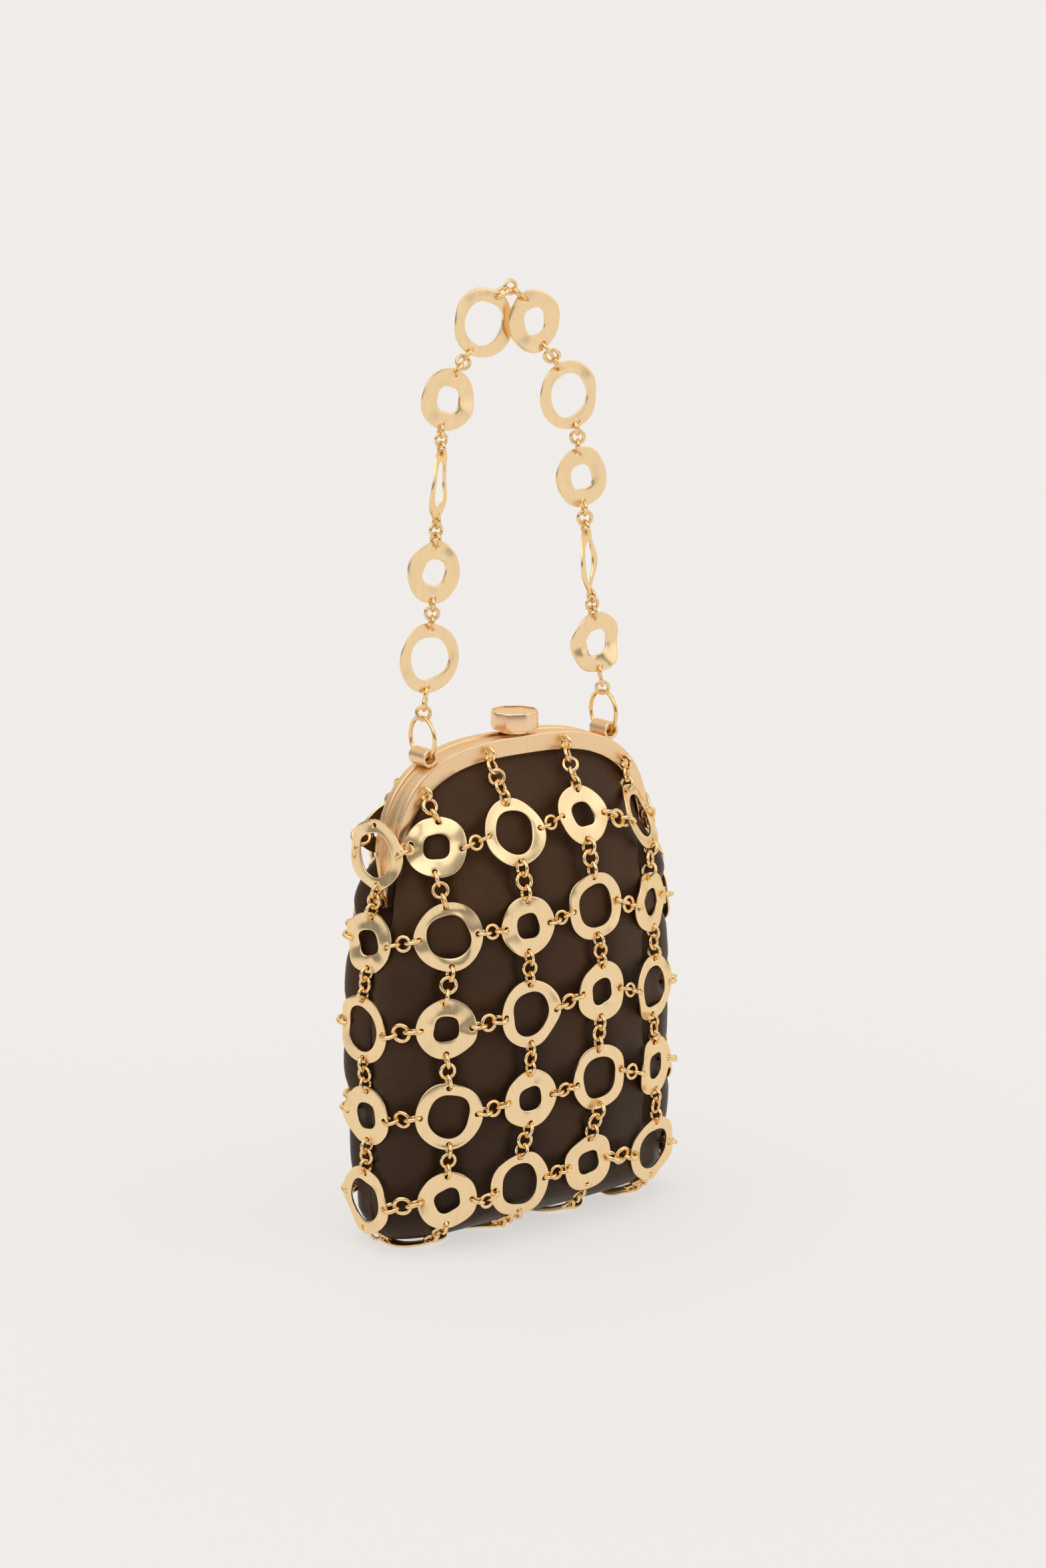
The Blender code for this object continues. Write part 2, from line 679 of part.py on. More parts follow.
def chain(bm, out, start, end, bulge=0.0):
    """Three jump rings between two ends: the outer two on edge, the middle one flat.
    An end is a ring's rim face, which the chain joins, or a point, which it stops short of."""
    first = centre(start) if isinstance(start, bmesh.types.BMFace) else Vector(start)
    last = centre(end) if isinstance(end, bmesh.types.BMFace) else Vector(end)
    along = (last - first).normalized()
    out = (out - along * out.dot(along)).normalized()
    middle = (first + last) / 2.0 + out * bulge
    ring = bmesh.new()
    profile = [ring.verts.new((JUMP_RING_RADIUS, 0.0, WIRE * HALF_SHARE)),
               ring.verts.new((JUMP_RING_RADIUS - WIRE, 0.0, 0.0)),
               ring.verts.new((JUMP_RING_RADIUS, 0.0, -WIRE * HALF_SHARE))]
    edges = [ring.edges.new((profile[i], profile[(i + 1) % 3])) for i in range(3)]
    turn = Matrix.Rotation(pi / 6.0, 3, "Z")
    bmesh.ops.rotate(ring, verts=profile, cent=(0.0, 0.0, 0.0), matrix=turn)
    bmesh.ops.spin(ring, geom=profile + edges, cent=(0.0, 0.0, 0.0), axis=(0.0, 0.0, 1.0),
                   angle=2.0 * pi, steps=6, use_merge=True)
    bmesh.ops.remove_doubles(ring, verts=ring.verts, dist=WIRE * MERGE_SHARE)
    axes = Matrix((along, out.cross(along), out)).transposed().to_4x4()
    bmesh.ops.transform(ring, matrix=Matrix.Translation(middle) @ axes, verts=ring.verts)
    carrier = bpy.data.meshes.new("link")
    ring.to_mesh(carrier)
    ring.free()
    before = set(bm.faces)
    bm.from_mesh(carrier)
    bpy.data.meshes.remove(carrier)
    made = [face for face in bm.faces if face not in before]
    flat = JUMP_RING_RADIUS * cos(pi / 6.0)
    for sign, goal, place in ((-1.0, start, first), (1.0, end, last)):
        target = middle + along * sign * flat
        wall = min(made, key=lambda f: (centre(f) - target).length)
        made.remove(wall)
        if isinstance(goal, bmesh.types.BMFace):
            bridge(bm, wall, goal)
        else:
            stub(bm, wall, place - along * sign * LINK_GAP, out, along)


def stub(bm, wall, tip, out, along):
    """Jump ring seen on edge, from the middle ring to just short of its neighbour."""
    root = centre(wall)
    face = bmesh.ops.extrude_discrete_faces(bm, faces=[wall])["faces"][0]
    over = out.cross(along)
    for vert in face.verts:
        offset = vert.co - root
        wide = WIRE if offset.dot(over) > 0.0 else -WIRE
        tall = RING_THICKNESS if offset.dot(out) > 0.0 else -RING_THICKNESS
        vert.co = tip + over * wide * HALF_SHARE + out * tall * HALF_SHARE


def short_link(bm, wall, point):
    """A single jump ring seen on edge, across the narrow gap at the bag's corner."""
    along = (point - centre(wall)).normalized()
    out = Vector((0.0, 0.0, 1.0))
    out = (out - along * out.dot(along)).normalized()
    stub(bm, wall, point - along * LINK_GAP, out, along)


def rim_point(column, row, x, y):
    """A point on a flat ring's rim, in the bag's frame."""
    radius = ring_radius(ring_is_large(column, row))
    return plate_frame(column, row) @ Vector((x * radius, y * radius, 0.0))


def outwards(column, row):
    return (plate_frame(column, row).to_3x3() @ Vector((0.0, 0.0, 1.0))).normalized()


def belt(model, row):
    """One row of ten rings round the pouch, with the chains that hang it from above."""
    bm = bmesh.new()
    walls = [flat_ring(bm, ring_is_large(c, row), plate_frame(c, row)) for c in range(COLUMNS)]
    for column in range(COLUMNS):
        after = (column + 1) % COLUMNS
        out = outwards(column, row) + outwards(after, row)
        chain(bm, out, walls[column]["next"], walls[after]["last"])
        if row > 2:
            above = rim_point(column, row - 1, 0.0, -1.0)
            chain(bm, outwards(column, row), walls[column]["up"], above)
    model.add("net_row_%d" % row, bm)


def top_net(model, name, columns, corners):
    """Row of four rings that hangs from the hooks of one half of the frame."""
    bm = bmesh.new()
    row = 1
    walls = {c: flat_ring(bm, ring_is_large(c, row), plate_frame(c, row)) for c in columns}
    for column, after in zip(columns, columns[1:]):
        out = outwards(column, row) + outwards(after, row)
        chain(bm, out, walls[column]["next"], walls[after]["last"])
    for column in columns:
        side = column_side(column)
        inner = abs(column_x(column)) < OUTER_COLUMN_X
        hand = 1.0 if column_x(column) > 0.0 else -1.0
        hook = hook_centre(hand * (INNER_HOOK_X if inner else OUTER_HOOK_X), side)
        reach = (centre(walls[column]["up"]) - hook).normalized()
        point = hook + reach * (HOOK_EYE_RADIUS + HOOK_WIRE * HALF_SHARE)
        chain(bm, outwards(column, row), walls[column]["up"], point)
    first, last = columns[0], columns[-1]
    before, after = corners
    short_link(bm, walls[first]["last"], rim_point(before, row, CORNER_REACH_SHARE, 0.0))
    short_link(bm, walls[last]["next"], rim_point(after, row, -CORNER_REACH_SHARE, 0.0))
    model.add(name, bm)


def side_ring(model, name, column):
    bm = bmesh.new()
    walls = flat_ring(bm, ring_is_large(column, 1), plate_frame(column, 1))
    chain(bm, outwards(column, 1), rim_point(column, 2, 0.0, 1.0), walls["down"])
    model.add(name, bm)


def drop_chain(model, name, column):
    """Loose chain between the top row and the next, which bunches when the bag opens."""
    bm = bmesh.new()
    low, high = rim_point(column, 2, 0.0, 1.0), rim_point(column, 1, 0.0, -1.0)
    chain(bm, outwards(column, 2), low, high)
    model.add(name, bm)


def base_net(model):
    """Four rings lying under the pouch, chained to the lowest row all round."""
    bm = bmesh.new()
    row = NET_ROWS
    xs = (-OUTER_COLUMN_X, -INNER_COLUMN_X, INNER_COLUMN_X, OUTER_COLUMN_X)
    down = Vector((0.0, 0.0, -1.0))
    walls = []
    for i, x in enumerate(xs):
        place = Matrix.Translation((x, 0.0, RING_THICKNESS * HALF_SHARE))
        walls.append(flat_ring(bm, ring_is_large(i + 1, row + 1), place))
    for left, right in zip(walls, walls[1:]):
        chain(bm, down, left["next"], right["last"], (RING_THICKNESS - WIRE) * HALF_SHARE)
    chain(bm, down, rim_point(SIDE_LEFT, row, 0.0, -1.0), walls[0]["last"])
    chain(bm, down, walls[-1]["next"], rim_point(SIDE_RIGHT, row, 0.0, -1.0))
    for i, wall in enumerate(walls):
        for column, edge in ((1 + i, "down"), (9 - i, "up")):
            above = rim_point(column, row, 0.0, -1.0)
            chain(bm, outwards(column, row) + down, wall[edge], above, BASE_LINK_BULGE)
    model.add("net_base", bm)


# Lugs, loops and strap

def lug(model, name, hand):
    bm = bmesh.new()
    middle = (LUG_FRONT_Y + LUG_REAR_Y) * HALF_SHARE
    cylinder(bm, LUG_RADIUS, LUG_REAR_Y - LUG_FRONT_Y, along_y((hand * LUG_X, middle, LUG_Z)), 14)
    obj = model.add(name, bm, GOLD, 0.3)
    bore = bmesh.new()
    cylinder(bore, LUG_BORE_RADIUS, LUG_REAR_Y - LUG_FRONT_Y + 2.0 * OVERRUN,
             along_y((hand * LUG_X, middle, LUG_Z)), 12)
    boolean(obj, model.cutter(name + "_bore", bore), "DIFFERENCE")
    return obj


STRAP_FOOT_HOLE_Z = LOOP_Z + LOOP_RADIUS + STRAP_FOOT_GAP
STRAP_TOP_Z = STRAP_FOOT_HOLE_Z + STRAP_LENGTH


def loop(model, name, hand):
    bm = bmesh.new()
    wire_ring(bm, LOOP_RADIUS, LOOP_WIRE, 20, 4)
    place = Matrix.Translation((hand * LUG_X, 0.0, LOOP_Z)) @ Matrix.Rotation(pi / 2.0, 4, "Y")
    bmesh.ops.transform(bm, matrix=place, verts=bm.verts)
    model.add(name, bm, GOLD, 0.25, origin=(hand * LUG_X, 0.0, LUG_Z))


def strap_middles(hand):
    xs = LEFT_X_SHARES if hand < 0.0 else RIGHT_X_SHARES
    zs = LEFT_Z_SHARES if hand < 0.0 else RIGHT_Z_SHARES
    shift = CROSSED_RING_OFFSET * -hand
    middles = [Vector((hand * LUG_X * x, 0.0, STRAP_FOOT_HOLE_Z + STRAP_LENGTH * z))
               for x, z in zip(xs, zs)]
    middles[-1].y = shift
    return middles


def strap_axes(hand, index):
    """A strap ring's hole-to-hole line, its way across and its way out."""
    lean = radians((LEFT_LEANS if hand < 0.0 else RIGHT_LEANS)[index])
    turn = radians((LEFT_TURNS if hand < 0.0 else RIGHT_TURNS)[index])
    up = Vector((sin(lean), 0.0, cos(lean)))
    out = Vector((0.0, -1.0, 0.0))
    out.rotate(Matrix.Rotation(turn, 3, up))
    return up, up.cross(out), out


def strap_is_large(hand, index):
    return (LEFT_LARGE if hand < 0.0 else RIGHT_LARGE)[index]


def strap_ring(model, name, hand, index):
    large = strap_is_large(hand, index)
    middle = strap_middles(hand)[index]
    up, across, out = strap_axes(hand, index)
    place = Matrix.Translation(middle) @ Matrix((across, up, out)).transposed().to_4x4()
    bm = bmesh.new()
    flat_ring(bm, large, place)
    obj = model.add(name, bm, origin=middle)
    holes = bmesh.new()
    reach = ring_radius(large) - HOLE_INSET
    for sign in (-1.0, 1.0):
        cylinder(holes, HOLE_RADIUS, RING_THICKNESS + 2.0 * OVERRUN,
                 place @ Matrix.Translation((0.0, sign * reach, 0.0)), 6)
    boolean(obj, model.cutter(name + "_holes", holes), "DIFFERENCE")


def strap_hole(hand, index, sign):
    large = strap_is_large(hand, index)
    reach = ring_radius(large) - HOLE_INSET
    return strap_middles(hand)[index] + strap_axes(hand, index)[0] * sign * reach


def linked_rings(model, name, radius, places):
    """Jump rings hooked through each other, joined where they touch. A place is a centre,
    the direction along the chain and the direction that the ring faces."""
    first = None
    for i, (middle, along, face) in enumerate(places):
        along = along.normalized()
        face = (face - along * face.dot(along)).normalized()
        bm = bmesh.new()
        wire_ring(bm, radius, STRAP_WIRE, 8, 3)
        axes = Matrix((along, face.cross(along), face)).transposed().to_4x4()
        bmesh.ops.transform(bm, matrix=Matrix.Translation(middle) @ axes, verts=bm.verts)
        if first is None:
            first = model.add(name, bm)
        else:
            boolean(first, model.cutter("%s_%d" % (name, i), bm), "UNION")


def strap_chain(model, name, start, end, start_face, end_face):
    radius = ((end - start).length + STRAP_WIRE * LINK_LAP_SHARE) / 6.0
    along = (end - start).normalized()
    first = start + along * radius
    last = end - along * radius
    if end_face.dot(start_face) < 0.0:
        end_face = -end_face
    between = along.cross(start_face.normalized() + end_face.normalized())
    places = [(first, along, start_face), ((first + last) / 2.0, along, between),
              (last, along, end_face)]
    linked_rings(model, name, radius, places)


def strap(model):
    for hand, label in ((-1.0, "left"), (1.0, "right")):
        for index in range(STRAP_RINGS):
            strap_ring(model, "strap_ring_%s_%d" % (label, index + 1), hand, index)
        foot = Vector((hand * LUG_X, 0.0, LOOP_Z + LOOP_RADIUS))
        hole = strap_hole(hand, 0, -1.0)
        under = (STRAP_WIRE + LOOP_WIRE) * HALF_SHARE + FIT_GAP
        start = foot - (hole - foot).normalized() * under
        strap_chain(model, "strap_links_%s_1" % label, start, hole,
                    Vector((0.0, -1.0, 0.0)), strap_axes(hand, 0)[1])
        for index in range(STRAP_RINGS - 1):
            strap_chain(model, "strap_links_%s_%d" % (label, index + 2),
                        strap_hole(hand, index, 1.0), strap_hole(hand, index + 1, -1.0),
                        strap_axes(hand, index)[1], strap_axes(hand, index + 1)[1])
    top = Vector((STRAP_TOP_X, 0.0, STRAP_TOP_Z))
    spans = [(top - strap_hole(hand, 4, 1.0)).length for hand in (-1.0, 1.0)]
    radius = sum(spans) * HALF_SHARE * APEX_LINK_SHARE
    places = [(top, Vector((1.0, 0.0, 0.0)), Vector((0.0, -1.0, 0.0)))]
    for hand in (-1.0, 1.0):
        hole = strap_hole(hand, 4, 1.0)
        along = (top - hole).normalized()
        places.append((hole + along * radius, along, strap_axes(hand, 4)[1]))
    linked_rings(model, "strap_top_links", radius, places)


# Clasp

def turned(bm, profile, steps):
    points = [bm.verts.new((r, 0.0, z)) for r, z in profile]
    edges = [bm.edges.new(pair) for pair in zip(points, points[1:])]
    bmesh.ops.spin(bm, geom=points + edges, cent=(0.0, 0.0, 0.0), axis=(0.0, 0.0, 1.0),
                   angle=2.0 * pi, steps=steps, use_merge=True)
    bmesh.ops.remove_doubles(bm, verts=bm.verts, dist=WIRE * MERGE_SHARE)


def clasp(model):
    top = HINGE_Z + ARCH_HEIGHT
    collar_z = top + FIT_GAP
    collar_top = collar_z + COLLAR_HEIGHT
    bore = STEM_RADIUS + STEM_GAP
    collar = bmesh.new()
    turned(collar, ((bore, collar_z), (COLLAR_RADIUS, collar_z), (COLLAR_RADIUS, collar_top),
                    (bore, collar_top), (bore, collar_z)), 2 * CAP_SIDES)
    model.add("clasp_collar", collar, ROSE_GOLD, 0.3)
    ceiling = clasp_button(model, top, collar_z + PRESS_TRAVEL + FIT_GAP)
    rest = FIT_GAP + SPRING_WIRE * HALF_SHARE
    coil(model, collar_top + rest, ceiling - rest)
    catch(model, top - BAND_TOP - FIT_GAP - CATCH_THICKNESS, bore)


def clasp_button(model, top, low):
    """Eight-sided cap with a dished top, its stem inside it. Returns the height of the
    ceiling that the spring pushes on."""
    high = low + CAP_HEIGHT
    dish = high - CAP_RECESS
    ceiling = dish - CAP_FLOOR
    hollow = COLLAR_RADIUS + FIT_GAP * 2.0
    stem_z = top - BAND_TOP - CATCH_THICKNESS - PRESS_TRAVEL * HALF_SHARE
    edge = CAP_WALL * HALF_SHARE
    inner = CAP_RADIUS - CAP_WALL
    cap = bmesh.new()
    turned(cap, ((0.0, stem_z), (STEM_RADIUS, stem_z), (STEM_RADIUS, ceiling),
                 (hollow, ceiling), (hollow, low), (CAP_RADIUS - edge, low),
                 (CAP_RADIUS, low + edge), (CAP_RADIUS, high - edge),
                 (CAP_RADIUS - edge, high), (inner, high), (inner, dish), (0.0, dish)),
           2 * CAP_SIDES)
    for vert in cap.verts:
        step = round(atan2(vert.co.y, vert.co.x) * CAP_SIDES / pi)
        if hypot(vert.co.x, vert.co.y) > hollow + FIT_GAP and step % 2 == 0:
            vert.co.x *= CAP_FLAT_SHARE
            vert.co.y *= CAP_FLAT_SHARE
    model.add("clasp_button", cap, ROSE_GOLD, 0.25, origin=(0.0, 0.0, top))
    return ceiling


def coil(model, low, high):
    """Return spring round the button's stem."""
    steps = SPRING_TURNS * 8
    curve = bpy.data.curves.new("clasp_spring", "CURVE")
    curve.dimensions = "3D"
    curve.bevel_depth = SPRING_WIRE * HALF_SHARE
    curve.bevel_resolution = 2
    curve.use_fill_caps = True
    spline = curve.splines.new("POLY")
    spline.points.add(steps)
    for i, point in enumerate(spline.points):
        angle = 2.0 * pi * i / 8.0
        z = low + (high - low) * i / steps
        point.co = (SPRING_RADIUS * cos(angle), SPRING_RADIUS * sin(angle), z, 1.0)
    curve.materials.append(material("clasp_spring", GOLD, 0.3, 1.0))
    model.parts.objects.link(bpy.data.objects.new("clasp_spring", curve))


def catch(model, low, bore):
    """Slotted plate under the rear half that the button's stem reaches through."""
    length, half = CATCH_LENGTH * HALF_SHARE, CATCH_DEPTH * HALF_SHARE
    high = low + CATCH_THICKNESS
    plate = bmesh.new()
    box(plate, (-length, -half, low), (length, half, high))
    obj = model.add("clasp_catch", plate, GOLD, 0.35)
    slot = bmesh.new()
    middle = Matrix.Translation((0.0, 0.0, (low + high) * HALF_SHARE))
    cylinder(slot, bore, CATCH_THICKNESS + 2.0 * OVERRUN, middle)
    boolean(obj, model.cutter("catch_round", slot), "DIFFERENCE")
    mouth = bmesh.new()
    box(mouth, (-bore, -half - OVERRUN, low - OVERRUN), (bore, 0.0, high + OVERRUN))
    boolean(obj, model.cutter("catch_mouth", mouth), "DIFFERENCE")


def main():
    clear_scene()
    model = Model()
    leather_pouch(model)
    leather_panel(model, "leather_front", -1.0)
    leather_panel(model, "leather_rear", 1.0)
    frame_half(model, "frame_front", -1.0)
    frame_half(model, "frame_rear", 1.0)
    rivets(model)
    for row in range(2, NET_ROWS + 1):
        belt(model, row)
    top_net(model, "net_front", (1, 2, 3, 4), (SIDE_LEFT, SIDE_RIGHT))
    top_net(model, "net_rear", (6, 7, 8, 9), (SIDE_RIGHT, SIDE_LEFT))
    side_ring(model, "side_ring_left", SIDE_LEFT)
    side_ring(model, "side_ring_right", SIDE_RIGHT)
    for i, column in enumerate((1, 2, 3, 4)):
        drop_chain(model, "drop_chain_front_%d" % (i + 1), column)
    for i, column in enumerate((6, 7, 8, 9)):
        drop_chain(model, "drop_chain_rear_%d" % (i + 1), column)
    base_net(model)
    lug(model, "lug_left", -1.0)
    lug(model, "lug_right", 1.0)
    loop(model, "strap_loop_left", -1.0)
    loop(model, "strap_loop_right", 1.0)
    strap(model)
    clasp(model)


main()
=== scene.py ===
"""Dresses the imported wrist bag: leather, hinged frame, net of flat rings, strap and clasp.
Metres, +Z up, front of the bag towards -Y. Run as a script; the panel has a button per step."""

import json
import random
from math import atan2, cos, exp, hypot, pi, radians, sin, sqrt

import bmesh
import bpy
from bpy.props import FloatProperty, FloatVectorProperty, IntProperty, PointerProperty
from bpy.types import Operator, Panel, PropertyGroup
from mathutils import Matrix, Vector, noise

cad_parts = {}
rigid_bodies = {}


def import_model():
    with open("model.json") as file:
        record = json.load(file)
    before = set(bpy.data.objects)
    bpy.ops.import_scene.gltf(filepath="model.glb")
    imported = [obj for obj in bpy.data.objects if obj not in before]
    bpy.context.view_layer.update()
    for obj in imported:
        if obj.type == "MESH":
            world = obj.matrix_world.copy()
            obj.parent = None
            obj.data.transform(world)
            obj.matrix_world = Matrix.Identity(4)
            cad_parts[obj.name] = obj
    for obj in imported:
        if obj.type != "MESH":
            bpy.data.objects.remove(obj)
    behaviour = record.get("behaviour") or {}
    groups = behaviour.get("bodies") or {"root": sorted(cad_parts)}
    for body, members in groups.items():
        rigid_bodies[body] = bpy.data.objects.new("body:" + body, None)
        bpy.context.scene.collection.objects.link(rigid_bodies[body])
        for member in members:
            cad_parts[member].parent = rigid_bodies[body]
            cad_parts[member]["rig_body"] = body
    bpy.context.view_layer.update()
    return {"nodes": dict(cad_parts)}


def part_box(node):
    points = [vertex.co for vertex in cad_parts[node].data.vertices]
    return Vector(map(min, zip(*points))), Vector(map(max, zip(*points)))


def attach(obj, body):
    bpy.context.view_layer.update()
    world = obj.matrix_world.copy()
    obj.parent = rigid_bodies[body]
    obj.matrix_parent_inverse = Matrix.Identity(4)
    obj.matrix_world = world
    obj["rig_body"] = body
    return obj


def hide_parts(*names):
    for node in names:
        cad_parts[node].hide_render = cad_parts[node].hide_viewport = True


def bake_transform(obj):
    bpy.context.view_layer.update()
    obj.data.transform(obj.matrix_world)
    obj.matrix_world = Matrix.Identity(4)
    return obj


bl_info = {
    "name": "Wrist Bag",
    "version": (1, 0, 0),
    "blender": (4, 5, 0),
    "location": "3D View > Sidebar > Wrist Bag",
    "description": "Builds the leather, frame, ring net, strap and clasp of a small framed bag",
    "category": "Object",
}

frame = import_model()

SIDE_NAMES = {-1: "left", 1: "right"}
LEVEL = Vector((0.0, 0.0, 1.0))

# Pouch
BAG_HALF_WIDTH, BAG_HALF_DEPTH = 0.0640, 0.0292
FOOT_HALF_WIDTH, FOOT_HALF_DEPTH = 0.0630, 0.0258
RIM_HALF_WIDTH, RIM_HALF_DEPTH = 0.0610, 0.0272
FOOT_Z, BELLY_Z, RIM_Z = 0.0040, 0.0780, 0.1266
FOOT_RADIUS, SIDE_FOOT_RADIUS = 0.0165, 0.0070
SECTION_POWER = 2.6
PANEL_INSET = 0.0021
GUSSET_TUCK, GUSSET_TUCK_WIDTH, GUSSET_TUCK_LENGTH = 0.0115, 0.0056, 0.0260
GUSSET_CREASE, GUSSET_CREASE_WIDTH, CREASE_START, CREASE_FADE = 0.0013, 0.0022, 0.02, 0.03
REST_SAG, SAG_START, SAG_FADE, SAG_HEIGHT = 0.0022, -0.055, 0.045, 0.014
REAR_FULLNESS, REAR_START, REAR_FADE, CORNER_START, CORNER_FADE = 0.0034, 0.003, 0.009, 0.80, 0.12
SWELL_START, PANEL_START, PANEL_FADE, WANDER_SCALE = 0.012, 0.012, 0.25, 45.0
LEATHER_COLUMNS, WALL_ROWS, PANEL_ROWS = 64, 18, 14
FOOT_ANGLES = (0.0, 0.35, 0.7, 1.05, 1.4)
CHAIN_PRESS_SIZE, RING_PRESS_SIZE, SIDE_PRESS_DEPTH = 0.0042, 0.0085, 0.009
RING_PRESS, SIDE_PRESS, MOST_PRESS, PRESS_PAST_SIDE = 0.42, 0.25, 1.15, 0.012

# Frame
HINGE_Z, ARCH_HALF_WIDTH, ARCH_HEIGHT, ARCH_POWER = 0.1296, 0.0585, 0.0549, 3.0
BAND_TOP, BAND_ARM, BAND_HALF_DEPTH, SEAM_GAP = 0.0070, 0.0046, 0.0065, 0.0003
CHANNEL_DEPTH, CHANNEL_NEAR, CHANNEL_FAR = 0.0025, 0.0028, 0.0046
PANEL_EDGE_DEPTH, SEAT_GAP = 0.0043, 0.0006
ARM_START, ARM_DROP, ARM_SHARE, BAND_STEPS = 0.024, 0.0062, 0.02, 156
ARM_SLIM, SLIM_START, SLIM_FADE = 0.30, 0.002, 0.018
TAB_THICKNESS, TAB_WIDTH, TAB_HEIGHT, FIT_GAP = 0.0014, 0.0018, 0.0075, 0.0003
TAB_DISC_RADIUS, TAB_DISC_SOFT = 0.001368, 0.0003
RIVET_RADIUS, RIVET_HEAD, RIVET_NECK, RIVET_BALL = 0.0010, 0.0013, 0.0021, 0.0023
BALL_START, BALL_RISE, BALL_STEPS = -0.7, 0.0014, 8
OUTER_HOOK_X, INNER_HOOK_X = 0.0452, 0.0172
HOOK_RADIUS, HOOK_WIRE, HOOK_TURN, HOOK_STANDOFF, HOOK_HEIGHT = 0.0022, 0.0017, 10.0, 0.0019, 0.58
WELD_RADIUS, WELD_INSET, WELD_RISE = 0.0014, 0.0017, 0.0010

# Net
NET_ROWS, NET_FOOT_Z, NET_PITCH = 5, 0.0215, 0.0322
LARGE_RADIUS, SMALL_RADIUS, LINK_RADIUS = 0.0126, 0.0112, 0.00235
OUTER_COLUMN_X, INNER_COLUMN_X = 0.0470, 0.0159
SIDE_DROOP, INNER_LIFT = 0.0029, 0.0020
TOP_SIDE_RING_X, RING_STANDOFF = 0.0615, 0.0026
CORNER_STANDOFF, CORNER_TURN = 0.0042, 0.62
SIDE_LEFT, SIDE_RIGHT, COLUMNS = 0, 5, 10
SIDE_TURN, TOP_SIDE_LEAN = 8.0, 0.06
BASE_RING_LIFT, BASE_LINK_LIFT = 0.0004, 0.0012

# Turn, lean and shift of single rings of the net, by column and row
UNMOVED = (0.0, 0.0, 0.0)
RING_TURNS = {
    (0, 1): (12.0, 8.0, UNMOVED), (0, 2): (11.5, 0.0, UNMOVED),
    (0, 3): (6.5, 0.0, (0.0, 0.0020, 0.0)), (0, 4): (11.0, 0.0, UNMOVED),
    (0, 5): (3.0, -4.0, (-0.0008, 0.0013, -0.0004)), (1, 1): (0.0, -6.0, (0.0030, -0.0004, -0.0010)),
    (1, 2): (0.0, 4.0, (0.0014, 0.0, 0.0016)), (1, 3): (0.0, 0.0, (-0.0012, 0.0, 0.0006)),
    (2, 5): (0.0, 3.0, (-0.0037, 0.0, 0.0)), (3, 1): (0.0, -5.0, (-0.0012, 0.0, 0.0023)),
    (3, 2): (0.0, 3.0, (-0.0015, 0.0, 0.0028)), (3, 3): (0.0, -4.0, (0.0004, 0.0, 0.0028)),
    (3, 4): (0.0, 5.0, (-0.0004, 0.0, 0.0022)), (3, 5): (0.0, 0.0, (-0.0042, 0.0, 0.0020)),
    (4, 1): (7.0, 4.0, (-0.0022, 0.0005, -0.0026)), (4, 2): (0.0, 3.0, (-0.0025, 0.0008, 0.0)),
    (4, 3): (0.0, -4.0, (-0.0021, 0.0006, 0.0)), (4, 4): (0.0, 4.0, (-0.0012, 0.0002, 0.0013)),
    (4, 5): (-8.0, -3.0, (-0.0010, 0.0, 0.0008)), (5, 1): (-34.0, 0.0, (0.0017, 0.0, -0.0052)),
    (9, 1): (-32.0, 0.0, (0.0020, 0.0, 0.0008))}

# Turns of the jump rings in a chain: 0 lies flat on the bag and 90 stands on edge
EDGE_FLAT_EDGE, CORNER_TURNS, BASE_TURNS = (90.0, 0.0, 90.0), (90.0, 20.0), (0.0, 25.0, 0.0)
INNER_HOOK_TURNS, OUTER_HOOK_TURNS = (90.0, 25.0, -35.0, 30.0), (90.0, 10.0)
LOOP_TURNS, HUNG_TURNS = (-36.0, 54.0, 60.0), (62.0, -34.0, 56.0)
TURN_SPREAD, LEAN_SPREAD = 13.0, 0.12
SLACK_BELOW, SLACK_BOW, SLACK_DROP, SLACK_ROUNDS = 0.9, 0.004, 0.6, 60

# Lugs, loops and strap
LUG_X, LUG_Z, LUG_FRONT_Y, LUG_REAR_Y = 0.0409, 0.1808, -0.0051, 0.0045
LUG_BORE, LUG_RADIUS = 0.0021, 0.0033
LOOP_RADIUS, LOOP_Z, LOOP_LINK_DROP, TOP_LINK_DROP = 0.0076, 0.1875, 0.0009, 0.0012
STRAP_TOP, STRAP_FOOT_Z, CROSSED_OFFSET = Vector((-0.0017, 0.0, 0.3462)), 0.2052, 0.0015

# Strap rings from the lowest up: shares of LUG_X and of the strap's height, leans and turns
STRAP_X = {-1: (0.924, 0.868, 0.807, 0.709, 0.308), 1: (0.914, 0.822, 0.736, 0.592, 0.188)}
STRAP_Z = {-1: (0.079, 0.297, 0.518, 0.730, 0.913), 1: (0.062, 0.276, 0.501, 0.716, 0.912)}
STRAP_LEANS = {-1: (5.6, 4.4, 6.1, 20.1, 30.0), 1: (-8.1, -6.7, -8.6, -21.1, -27.0)}
STRAP_TURNS = {-1: (0.0, 0.0, 43.0, 0.0, 0.0), 1: (0.0, 43.0, 0.0, 0.0, 0.0)}
STRAP_LARGE = {-1: (True, False, True, False, True), 1: (False, True, False, True, False)}

